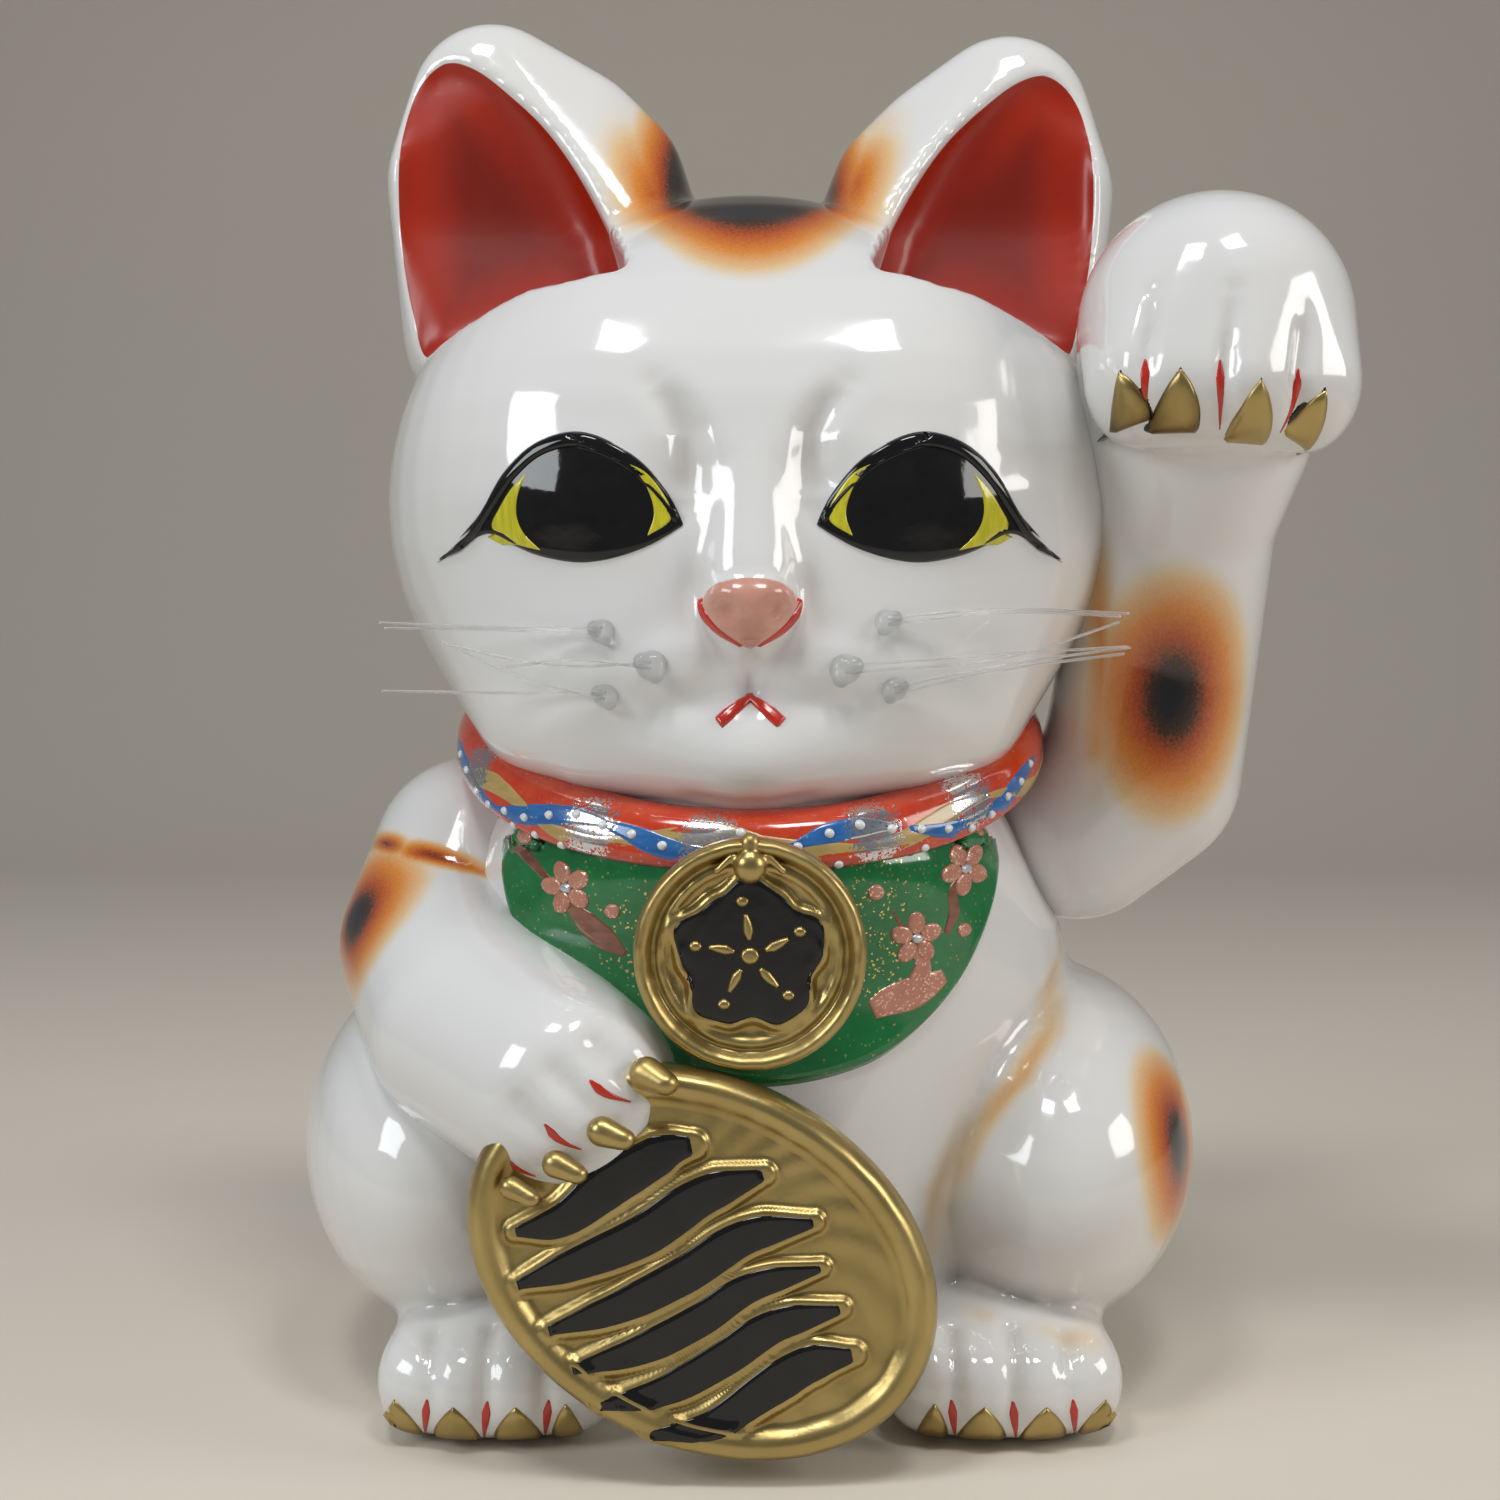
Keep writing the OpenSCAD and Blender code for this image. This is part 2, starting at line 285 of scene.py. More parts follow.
class Finish:
    """One procedural finish. Each helper adds a node and returns what comes out of it."""

    def __init__(self, name):
        self.material = bpy.data.materials.new(name)
        self.material.use_nodes = True
        self.tree = self.material.node_tree
        self.shader = self.tree.nodes["Principled BSDF"]
        self.place = self.add("ShaderNodeTexCoord").outputs["Object"]

    def add(self, kind, **settings):
        node = self.tree.nodes.new(kind)
        for key, value in settings.items():
            setattr(node, key, value)
        return node

    def put(self, value, socket):
        if isinstance(value, bpy.types.NodeSocket):
            self.tree.links.new(value, socket)
        else:
            socket.default_value = value

    def noise(self, scale, detail=3.0, rough=0.5, stretch=None):
        node = self.add("ShaderNodeTexNoise")
        place = self.place
        if stretch:
            turn = self.add("ShaderNodeMapping")
            turn.inputs["Scale"].default_value = stretch
            self.put(place, turn.inputs["Vector"])
            place = turn.outputs[0]
        self.put(place, node.inputs["Vector"])
        node.inputs["Scale"].default_value = scale
        node.inputs["Detail"].default_value = detail
        node.inputs["Roughness"].default_value = rough
        return node.outputs["Fac"]

    def flecks(self, scale):
        """A random number for each grain, the grains 1/scale m across."""
        node = self.add("ShaderNodeTexVoronoi")
        self.put(self.place, node.inputs["Vector"])
        node.inputs["Scale"].default_value = scale
        apart = self.add("ShaderNodeSeparateColor")
        self.put(node.outputs["Color"], apart.inputs[0])
        return apart.outputs[0]

    def layer(self, name):
        return self.add("ShaderNodeAttribute", attribute_name=name).outputs["Fac"]

    def sum(self, a, operation, b):
        node = self.add("ShaderNodeMath", operation=operation)
        self.put(a, node.inputs[0])
        self.put(b, node.inputs[1])
        return node.outputs[0]

    def span(self, value, low, high, out_low=0.0, out_high=1.0):
        node = self.add("ShaderNodeMapRange", interpolation_type="SMOOTHSTEP")
        for key, number in (("Value", value), ("From Min", low), ("From Max", high),
                            ("To Min", out_low), ("To Max", out_high)):
            self.put(number, node.inputs[key])
        return node.outputs["Result"]

    def ramp(self, value, *stops):
        node = self.add("ShaderNodeValToRGB")
        marks = node.color_ramp.elements
        while len(marks) < len(stops):
            marks.new(0.5)
        for mark, (position, colour) in zip(marks, stops):
            mark.position = position
            mark.color = (*colour, 1)
        self.put(value, node.inputs[0])
        return node.outputs[0]

    def mix(self, amount, a, b):
        node = self.add("ShaderNodeMix", data_type="RGBA")
        self.put(amount, node.inputs["Factor"])
        for value, socket in ((a, node.inputs[6]), (b, node.inputs[7])):
            self.put(value if isinstance(value, bpy.types.NodeSocket) else (*value, 1), socket)
        return node.outputs[2]

    def bumps(self, height, strength, distance):
        node = self.add("ShaderNodeBump")
        node.inputs["Strength"].default_value = strength
        node.inputs["Distance"].default_value = distance
        self.put(height, node.inputs["Height"])
        self.put(node.outputs[0], self.shader.inputs["Normal"])

    def set(self, **values):
        for key, value in values.items():
            self.put(value, self.shader.inputs[key.replace("_", " ")])
        return self.material


def make_glaze():
    """White glaze over airbrushed colour: cream, orange, brown and black with rising heat."""
    f = Finish("white_glaze")
    white = f.ramp(f.noise(7, 2), (0.35, (0.80, 0.80, 0.795)), (0.7, (0.76, 0.75, 0.725)))
    grain = f.sum(f.sum(f.noise(1500, 2), "SUBTRACT", 0.5), "MULTIPLY", 0.3)
    heat = f.layer("burn")
    coat = f.sum(heat, "MULTIPLY", f.sum(grain, "ADD", 1.0))
    burnt = f.ramp(coat, (0.0, (0.80, 0.72, 0.56)), (0.2, (0.80, 0.56, 0.30)),
                   (0.42, (0.72, 0.25, 0.035)), (0.62, (0.48, 0.085, 0.012)),
                   (0.78, (0.05, 0.02, 0.01)), (0.9, (0.012, 0.011, 0.012)))
    colour = f.mix(f.span(coat, 0.0, 0.24), white, burnt)
    # Painted shade: the white glaze is mixed towards brown in the hollows, more where they dip deeper.
    hollow_shade = f.sum(f.layer("hollow_shade"), "MULTIPLY", f.span(f.noise(90), 0.2, 0.8, 0.3, 0.9))
    colour = f.mix(hollow_shade, colour, (0.40, 0.31, 0.20))
    inside = f.layer("ear_red")
    depth = f.sum(inside, "ADD", f.sum(f.noise(300, 2), "MULTIPLY", 4.0))
    red = f.mix(f.span(depth, 7.0, 21.0, 0.0, 0.6), (0.38, 0.016, 0.001), (0.09, 0.003, 0.0005))
    ear = f.span(inside, 0.02, 0.26)
    colour = f.mix(ear, colour, red)
    pin = f.span(f.flecks(330), 0.9985, 0.9995, 0.0, 0.85)
    spot = f.add("ShaderNodeTexVoronoi")
    f.put(f.place, spot.inputs["Vector"])
    spot.inputs["Scale"].default_value = 330
    pin = f.sum(pin, "MULTIPLY", f.span(spot.outputs["Distance"], 0.22, 0.10))
    colour = f.mix(pin, colour, (0.03, 0.025, 0.02))
    f.bumps(f.noise(70, 3), 0.10, 0.0006)
    gloss = f.sum(f.span(f.noise(40), 0.2, 0.8, 0.07, 0.16), "ADD", f.sum(ear, "MULTIPLY", 0.25))
    return f.set(Base_Color=colour, Roughness=gloss, IOR=1.5,
                 Coat_Weight=f.span(ear, 0.0, 1.0, 0.6, 0.05), Coat_Roughness=0.04)


def enamel(name, colour, second, rough=0.14, streak=None, dust=None,
           dust_colour=(0.7, 0.7, 0.72), metal=0.0, coat=0.5):
    """Brushed enamel, a little uneven in colour; dust is the share of glitter grains in it."""
    f = Finish(name)
    paint = f.mix(f.span(f.noise(160, 4, 0.6, streak), 0.3, 0.7), colour, second)
    if dust is not None:
        grain = f.flecks(2300)
        amount = f.sum(f.layer("dust"), "ADD", dust)
        metal = f.span(f.sum(amount, "SUBTRACT", grain), -0.02, 0.02)
        paint = f.mix(metal, paint, dust_colour)
    f.bumps(f.noise(420, 2, 0.5, streak), 0.12, 0.0002)
    gloss = f.span(f.noise(55), 0.2, 0.8, rough * 0.7, rough * 1.5)
    return f.set(Base_Color=paint, Metallic=metal, Roughness=gloss, Coat_Weight=coat, Coat_Roughness=0.05)


def make_gold():
    """Satin bronze-gold paint, with painted shade in the grooves, where it turns dark brown."""
    f = Finish("gold_paint")
    gold = f.ramp(f.noise(45, 4), (0.3, (0.42, 0.31, 0.115)), (0.7, (0.54, 0.41, 0.165)))
    # Painted shade: the gold is mixed towards dark brown in the hollows of each piece.
    hollow_shade = f.sum(f.layer("hollow_shade"), "MULTIPLY", f.span(f.noise(130), 0.2, 0.8, 0.5, 1.0))
    gold = f.mix(hollow_shade, gold, (0.10, 0.06, 0.02))
    f.bumps(f.noise(650, 3), 0.16, 0.0003)
    return f.set(Base_Color=gold, Metallic=0.93, Roughness=f.span(f.noise(75, 4), 0.25, 0.75, 0.27, 0.42))


def deliver(piece, finish, slot, *nodes, body="figure"):
    """Gives a finished piece its coat, unless it has one, and its place in the frame."""
    if finish:
        piece.data.materials.clear()
        piece.data.materials.append(finish)
    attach(piece, body)
    if nodes:
        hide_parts(*nodes)
    return piece


glaze = make_glaze()
gold = make_gold()

body_lumps = [
    stretched_over([ball((0, -18, 126), (65, 75, 26)), ball((0, 4, 142), (58, 54, 26)),
                    ball((0, -10, 98), (79, 75, 40))]),
    stretched_over([ball((0, -10, 98), (79, 75, 40)), ball((0, -22, 58), (46, 73, 40)),
                    ball((0, 6, 50), (92, 85, 46)), ball((0, 6, 14), (84, 78, 14))]),
]
for side in (-1, 1):
    body_lumps.append(stretched_over([ball((side * 71, -15, 51), (38, 71, 44), side * 14),
                                      ball((side * 58, 22, 44), (42, 54, 42))]))
    toes = [ball((side * x, y, 11.5), (r, 12, 11.5)) for x, y, r in
            [(38, -81, 8.5), (50.5, -84, 9), (63.5, -84, 9), (75, -80, 8)]]
    toes.append(ball((side * 56, -72, 15), (23, 20, 12)))
    toes.append(ball((side * 57, -48, 15), (25, 24, 15)))
    body_lumps.append(stretched_over(toes))

body = cast("body_casting", body_lumps, 1.4, 16)
for side in (-1, 1):
    for x in (44, 57, 69.5):
        press_line(body, [(side * x, -84, 24), (side * x, -95, 17), (side * x, -97, 2)], 2.2, 1.6, False)
hip_fold = [(76, -25, 102), (69, -58, 86), (61, -68, 76), (51, -71, 66), (43, -72, 50), (42, -70, 36),
            (52, -80, 25)]
press_line(body, hip_fold, 3.0, 1.0)
press_line(body, mirror_x(hip_fold), 3.0, 1.0)


def hollow_out(piece, tool, finish):
    """Cuts the tool's shape out of the piece; the cut faces keep the tool's finish."""
    tool.data.materials.append(finish)
    piece.data.materials.append(glaze)
    use_modifier(piece, "BOOLEAN", operation="DIFFERENCE", object=tool, solver="EXACT",
                 material_mode="TRANSFER")
    bpy.data.objects.remove(tool)


clay = enamel("bare_clay", (0.62, 0.54, 0.47), (0.50, 0.43, 0.37), 0.7, dust=0.004,
              dust_colour=(0.2, 0.16, 0.13))
slab_fit = 60.2
pick_none()
bpy.ops.mesh.primitive_cylinder_add(vertices=96, radius=slab_fit * MM, depth=60 * MM, location=(0, 0, 18 * MM))
hollow_out(body, bpy.context.object, clay)
spray(body, (99, -63, 60), (19, 28, 29), 0.94, 0.05)
spray(body, (-106, -8, 52), (14, 40, 40), 0.42)
spray_line(body, hip_fold, 7, 0.30)
spray_line(body, [(74, -50, 12), (74, -84, 20), (66, -84, 23)], 9, 0.26)
paint_hollow_shade(body, 3.0)
deliver(body, None, "glaze", "body_shell")


# ---------------------------------------------------------------------------------------
# Head casting: skull, cheeks, muzzle and both ears, hollow, luted on to the neck. The brow,
# the eye sockets, the nose, the mouth and the chin are worked into the plaster model.
# ---------------------------------------------------------------------------------------
head_lumps = [
    stretched_over([ball((-24, -12, 208), (65, 74, 68)), ball((24, -12, 208), (65, 74, 68)),
                    ball((0, -5, 222), (70, 66, 63)), ball((-25, -33, 169), (44, 55, 30.5)),
                    ball((25, -33, 169), (44, 55, 30.5)), ball((-27, -46, 160), (38, 40, 23)),
                    ball((27, -46, 160), (38, 40, 23)),
                    ball((-21, -57, 157.5), (28, 28, 19)), ball((21, -57, 157.5), (28, 28, 19))]),
    stretched_over([ball((0, -73, 228), (10, 9, 10)), ball((0, -83.5, 191), (11.5, 11, 9))]),
    stretched_over([ball((-3.5, -88.5, 184), (6.5, 10, 6.5)), ball((3.5, -88.5, 184), (6.5, 10, 6.5)),
                    ball((0, -87, 176.8), (4.5, 9.5, 4.5))]),
    stretched_over([ball((0, -72, 151.5), (18, 21.5, 16.5)), ball((-27, -64, 157), (25, 21, 18)),
                    ball((27, -64, 157), (25, 21, 18))]),
]
for side in (-1, 1):
    low, inner = (0, 0) if side < 0 else (3, 4)
    head_lumps.append(ball((side * 16, -69.5, 171), (20, 21, 15.5)))
    head_lumps.append(stretched_over([
        ball((side * 65, 2, 309 - low), (21, 13, 21)), ball((side * 76, 0, 290 - low), (15.5, 16, 18)),
        ball((side * (45 + inner), 2, 300 - low), (19, 13, 19)),
        ball((side * (35 + inner), 3, 289 - low), (19, 16, 21)),
        ball((side * 70, 4, 252), (18, 27, 20)), ball((side * (27 + inner), 2, 267), (18, 30, 20))]))
head = cast("head_casting", head_lumps, 1.3, 14)


def along(line, t):
    """The points at the shares t, 0 to 1, of a line's length."""
    spans = np.linalg.norm(np.diff(line, axis=0), axis=1)
    marks = np.concatenate([[0], np.cumsum(spans)]) / spans.sum()
    return np.stack([np.interp(t, marks, line[:, k]) for k in range(line.shape[1])], axis=1)


def curve(points, steps=8, closed=False):
    """A smooth line through the points."""
    p = np.asarray(points, float)
    if closed:
        p = np.vstack([p[-1], p, p[0], p[1]])
    else:
        p = np.vstack([2 * p[0] - p[1], p, 2 * p[-1] - p[-2]])
    t = np.linspace(0, 1, steps, endpoint=False)[:, None]
    rows = [0.5 * (2 * b + (c - a) * t + (2 * a - 5 * b + 4 * c - d) * t ** 2
                   + (3 * b - a - 3 * c + d) * t ** 3)
            for a, b, c, d in zip(p, p[1:], p[2:], p[3:])]
    return np.vstack(rows + ([] if closed else [p[-2]]))


def inside_by(places, outline):
    """How many mm each flat place lies inside a closed smooth outline; negative outside it."""
    loop = curve(outline, 5, True)
    loop = np.vstack([loop, loop[:1]])
    gap, _ = near_line(places, loop)
    crossings = np.zeros(len(places), int)
    for (x0, z0), (x1, z1) in zip(loop, loop[1:]):
        level = (z0 > places[:, 1]) != (z1 > places[:, 1])
        if z1 != z0:
            crossings += level & (places[:, 0] < x0 + (places[:, 1] - z0) * (x1 - x0) / (z1 - z0))
    return np.where(crossings % 2 == 1, gap, -gap)


def ear_outline(side):
    """The edge of an ear's red; the right ear is a little narrower and lower."""
    left = [(-76, 318), (-83, 312), (-86.5, 300), (-87.3, 284), (-86, 268), (-83, 254),
            (-79, 244), (-65, 249), (-52, 255), (-40, 257), (-29, 259),
            (-33.5, 272), (-41, 287), (-49.5, 299.5), (-59, 309), (-68, 316)]
    return left if side < 0 else [(-x * 0.975, z - 3.3 * (z - 244) / 74) for x, z in left]


def ear_front(piece, side):
    """The skin, the points on the front of one ear, and how far inside its outline they lie."""
    points, normals = skin(piece)
    near = np.flatnonzero((points[:, 0] * side > 18) & (points[:, 2] > 236) & (points[:, 1] > -60)
                          & (points[:, 1] < 6))
    return points, normals, near, inside_by(points[near][:, [0, 2]], ear_outline(side))


def scoop_ears(piece):
    """Hollows the front of both ears and marks how deep inside the red each point lies."""
    for side in (-1, 1):
        points, normals, near, inside = ear_front(piece, side)
        front = np.clip(-normals[near, 1] * 3, 0, 1) * np.clip((points[near, 1] + 46) / 10, 0, 1)
        t = np.clip((inside + 0.6) / 5.5, 0, 1)
        bottom = np.minimum(-14 + 0.3 * (points[near, 2] - 259), -8) - points[near, 1]
        cut = np.clip(bottom, 0, None) * np.clip((inside + 0.4) / 1.6, 0, 1)
        points[near, 1] += np.maximum(4.5 * t * (2 - t) * front, cut)
        set_skin(piece, points)
        floor = piece.vertex_groups.new(name="ear_floor")
        for k, share in zip(near, np.clip((inside - 0.6) / 2.5, 0, 1)):
            if share > 0:
                floor.add([int(k)], float(share), "REPLACE")
        use_modifier(piece, "SMOOTH", factor=0.5, iterations=70, vertex_group="ear_floor")
        piece.vertex_groups.clear()
    use_modifier(piece, "REMESH", mode="VOXEL", voxel_size=1.3 * MM)
    use_modifier(piece, "SMOOTH", factor=0.5, iterations=4)
    bpy.ops.object.shade_smooth()
    red = np.full(len(piece.data.vertices), -30.0)
    for side in (-1, 1):
        points, normals, near, inside = ear_front(piece, side)
        ledge = (points[near, 1] + 25) * 2
        red[near] = np.minimum(np.minimum(inside, ledge), -normals[near, 1] * 32 - 1.2)
    layer(piece, "ear_red", red)


scoop_ears(head)
brow = [(21, -82, 232), (16.5, -83, 227), (13.5, -84, 221), (13, -86, 214), (14, -86, 206)]
for side in (-1, 1):
    path = brow if side > 0 else mirror_x(brow)
    press_line(head, path, 3.6, 3.4)
    press_spot(head, (side * 17, -86, 208), (7, 16, 10), 2.2)
    press_spot(head, (side * 37, -84, 206), (31, 22, 22), 2.2)
    press_spot(head, (side * 37, -84, 206), (19, 16, 11.5), -3.4)
    press_spot(head, (side * 13, -90, 186), (2.6, 8, 6), 1.2)
    press_spot(head, (side * 6, -98, 182), (2.2, 6, 2.2), 3.0)
    press_line(head, [(side * 2, -82, 160), (side * 8, -82, 156.5), (side * 15, -77, 153)], 2.0, 1.8)
    press_line(head, [(side * 19, -77, 148), (side * 12, -83, 143), (0, -87, 140.5)], 2.4, 1.5)
press_line(head, [(0, -95, 174.5), (0, -90, 169), (0, -86, 162)], 1.8, 2.0)
press_spot(head, (0, -89, 149.5), (12, 9, 5), -1.2)
spray(head, (0, 2, 285), (34, 85, 53), 1.0, 0.5)
for side in (-1, 1):
    spray_line(head, [(side * 18, -38, 272), (side * 24, -18, 284), (side * 34, -2, 298)], 16, 0.6)
paint_hollow_shade(head, 2.2)
deliver(head, glaze, "glaze", "head_shell")

# ---------------------------------------------------------------------------------------
# Raised arm: hollow casting luted to the shoulder and to the side of the head. The paw is
# a round ball bent forward over the wrist, with four toes.
# ---------------------------------------------------------------------------------------
raised = cast("raised_arm_casting", limb([
    ((82, -12, 127), (23, 27, 22)), ((97, -15, 142), (25, 27, 25)), ((101, -18, 172), (24, 25, 26)),
    ((103, -27, 206), (24, 25, 25)), ((107, -50, 247), (31.5, 33, 31))])
    + [stretched_over([ball((107, -50, 247), (31.5, 33, 31)), ball((88, -64, 234), (13, 20, 16)),
                       ball((124, -62, 233), (13, 18, 16)), ball((106, -68, 233), (14, 20, 15))])], 1.2, 12)
for path in ([(87.5, -77, 251), (86.5, -81, 244), (85.5, -82, 235), (87, -76, 222)],
             [(104, -83, 251), (102.5, -86, 243), (101.5, -87, 234), (102.5, -80, 220)],
             [(119.5, -79, 247), (119.5, -82, 240), (118.5, -84, 232), (120, -76, 220)]):
    press_line(raised, path, 2.5, 2.3)
wrist = [(78, -56, 219), (90, -64, 215), (106, -66, 213), (122, -62, 215), (132, -48, 219)]
press_line(raised, wrist, 3.0, 1.5)
spray(raised, (100, -46, 161.5), (24, 40, 36), 0.92, 0.12)
spray_line(raised, [(84, -36, 138), (84, -36, 180), (89, -36, 222)], 9, 0.4)
spray_line(raised, [(76, -30, 225), (76, -32, 190), (78, -32, 160), (80, -30, 140)], 9, 0.2)
paint_hollow_shade(raised, 2.2)
deliver(raised, glaze, "glaze", "raised_arm")

# ---------------------------------------------------------------------------------------
# Lowered arm: hollow casting luted to the shoulder. Its paw grips the top of the coin.
# ---------------------------------------------------------------------------------------
lowered = cast("lowered_arm_casting", limb([
    ((-68, -12, 122), (26, 30, 24)), ((-73, -28, 101), (27, 31, 26)),
    ((-60, -64, 87), (27, 28, 26)), ((-39, -93, 79), (24, 21, 23))]), 1.2, 12)
for path in ([(-47.5, -112, 80), (-42, -114, 74), (-38, -113, 70)],
             [(-40, -113, 87), (-34, -113, 81), (-29, -111, 76)],
             [(-31, -109, 92), (-26, -109, 87), (-22, -106, 83)]):
    press_line(lowered, path, 2.8, 1.6)
    press_spot(lowered, path[0], (4.5, 8, 4.5), 1.4)
arm_fold = [(-93, -22, 125), (-84, -42, 127), (-72, -46, 124), (-62, -48, 121)]
press_line(lowered, arm_fold, 2.2, 0.6)
spray(lowered, (-93, -46, 110), (25, 27, 25), 0.93, 0.06)
spray_line(lowered, arm_fold, 4.6, 0.9)
paint_hollow_shade(lowered, 2.2)
deliver(lowered, glaze, "glaze", "lowered_arm")

# ---------------------------------------------------------------------------------------
# Tail: a short curled stub, cast separately and luted to the rump.
# ---------------------------------------------------------------------------------------
tail = cast("tail_casting", limb([
    ((14, 79, 24), (13, 13, 13)), ((30, 84, 26), (13, 12, 13)), ((42, 81, 38), (12, 12, 12)),
    ((38, 81, 52), (10, 11, 10))]), 1.3, 12)
spray(tail, (38, 84, 62), (22, 26, 26), 1.0, 0.3)
paint_hollow_shade(tail, 2.2)
deliver(tail, glaze, "glaze", "tail")


# ---------------------------------------------------------------------------------------
# Face: enamel brushed on over the fired glaze and fired again, so each stroke stands a
# little proud. Black eyes with a thick upper lid and a lash, yellow on both sides of the
# pupil, a pink nose with red edges, and a small red mouth.
# ---------------------------------------------------------------------------------------
def from_front(x, z):
    """Where a flat place x, z is brushed on from, and the way the brush points."""
    return (x, 0, z), (0, 1, 0)


def sheet_grid(name, cells, place):
    """A sheet of faces; place(u, v) says where its points go, u and v running from 0 to 1."""
    pick_none()
    bpy.ops.mesh.primitive_grid_add(x_subdivisions=cells[0], y_subdivisions=cells[1], size=1)
    sheet = bpy.context.object
    sheet.name = name
    sheet.data.name = name
    spots = np.empty(len(sheet.data.vertices) * 3)
    sheet.data.vertices.foreach_get("co", spots)
    u, v = np.clip(spots.reshape(-1, 3)[:, :2].T + 0.5, 0, 1)
    order = np.lexsort((u.round(5), v.round(5)))
    points = np.empty((len(u), 3))
    wide = len(np.unique(u.round(5)))
    points[order] = place(u[order].reshape(-1, wide), v[order].reshape(-1, wide)).reshape(-1, 3)
    set_skin(sheet, points)
    return sheet


def closed_up(sheet, thick):
    """Gives the sheet a back, thick mm behind its face, and turns every face outwards."""
    use_modifier(sheet, "SOLIDIFY", thickness=thick * MM, offset=-1)
    bpy.ops.object.mode_set(mode="EDIT")
    bpy.ops.mesh.select_all(action="SELECT")
    bpy.ops.mesh.normals_make_consistent(inside=False)
    bpy.ops.object.mode_set(mode="OBJECT")
    bpy.ops.object.shade_smooth()
    return sheet


trees = {}


def painted(name, base, aim, edges, film, cells=(28, 8), soft=0.8, thick=0.5, settle=4):
    """A coat of enamel on the base between two edges, film mm proud and rounded off at its rim."""
    if base.name not in trees:
        trees[base.name] = BVHTree.FromObject(base, bpy.context.evaluated_depsgraph_get())
    first, second = (curve(edge) if len(edge) < 20 else np.asarray(edge, float) for edge in edges)
    across = along(second, np.array([0.5]))[0] - along(first, np.array([0.5]))[0]
    way = first[-1] - first[0]
    if way[0] * across[1] - way[1] * across[0] < 0:
        first, second = second, first

    def place(u, v):
        a = along(first, u.ravel())
        b = along(second, u.ravel())
        flat = a * (1 - v.ravel()[:, None]) + b * v.ravel()[:, None]
        width = np.linalg.norm(b - a, axis=1).reshape(u.shape)
        span = np.linalg.norm(np.diff(first, axis=0), axis=1).sum()
        spots = np.empty((len(flat), 3))
        outs = np.empty((len(flat), 3))
        for k, (x, z) in enumerate(flat):
            spot, way = (Vector(a) for a in aim(x, z))
            hit = trees[base.name].ray_cast((spot - way * 150) * MM, way)
            if hit[0] is None:
                hit = trees[base.name].find_nearest(spot * MM)
            spots[k] = hit[0] / MM
            outs[k] = -way
        deep = -(spots * outs).sum(axis=1)
        past = deep - np.median(deep)
        for k in np.flatnonzero(past > 30):
            spots[k] = trees[base.name].find_nearest((spots[k] + outs[k] * past[k]) * MM)[0] / MM
        spots = spots.reshape(*u.shape, 3)
        outs = outs.reshape(*u.shape, 3)
        for _ in range(settle):
            spots[1:-1, 1:-1] = 0.25 * (spots[:-2, 1:-1] + spots[2:, 1:-1]
                                        + spots[1:-1, :-2] + spots[1:-1, 2:])
        normal = np.cross(np.gradient(spots, axis=1), np.gradient(spots, axis=0))
        size = np.linalg.norm(normal, axis=2, keepdims=True)
        normal = np.where(size > 1e-4, normal / np.maximum(size, 1e-9), outs)
        normal *= np.where((normal * outs).sum(axis=2, keepdims=True) < 0, -1, 1)
        rim = np.minimum(np.minimum(v, 1 - v) * width, np.minimum(u, 1 - u) * span)
        lift = film * np.sqrt(1 - (1 - np.clip(rim / soft, 0, 1)) ** 2) - 0.1
        return spots + normal * lift[..., None]

    return closed_up(sheet_grid(name, cells, place), thick)


def stroke(path, widths):
    """The two edges of a brush stroke; its widths are spread evenly along it."""
    line = along(curve(path), np.linspace(0, 1, 40))
    step = np.gradient(line, axis=0)
    step /= np.linalg.norm(step, axis=1)[:, None]
    side = np.stack([-step[:, 1], step[:, 0]], axis=1)
    half = np.interp(np.linspace(0, 1, 40), np.linspace(0, 1, len(widths)), widths)[:, None] / 2
    return line - side * half, line + side * half


def disc(place, radii, turn=0.0):
    """The two edges of a round or oval dab."""
    t = np.linspace(0, np.pi, 25)
    c, s = math.cos(turn), math.sin(turn)
    halves = []
    for sign in (-1, 1):
        x, z = -np.cos(t) * radii[0], sign * np.sin(t) * radii[1]
        halves.append(np.stack([place[0] + c * x - s * z, place[1] + s * x + c * z], axis=1))
    return halves


def flip(edges):
    return [[(-x, z) for x, z in edge] for edge in edges]


def as_one(name, pieces):
    piece = joined(pieces)
    piece.name = name
    piece.data.name = name
    return piece


black = enamel("black_enamel", (0.003, 0.003, 0.0035), (0.007, 0.0065, 0.007), 0.06, coat=0.1)
yellow = enamel("yellow_enamel", (0.66, 0.60, 0.025), (0.52, 0.48, 0.02), 0.16, (5, 5, 0.6))
pink = enamel("pink_enamel", (0.66, 0.34, 0.26), (0.60, 0.29, 0.22), 0.16)
red = enamel("red_enamel", (0.60, 0.030, 0.012), (0.50, 0.022, 0.010), 0.12)

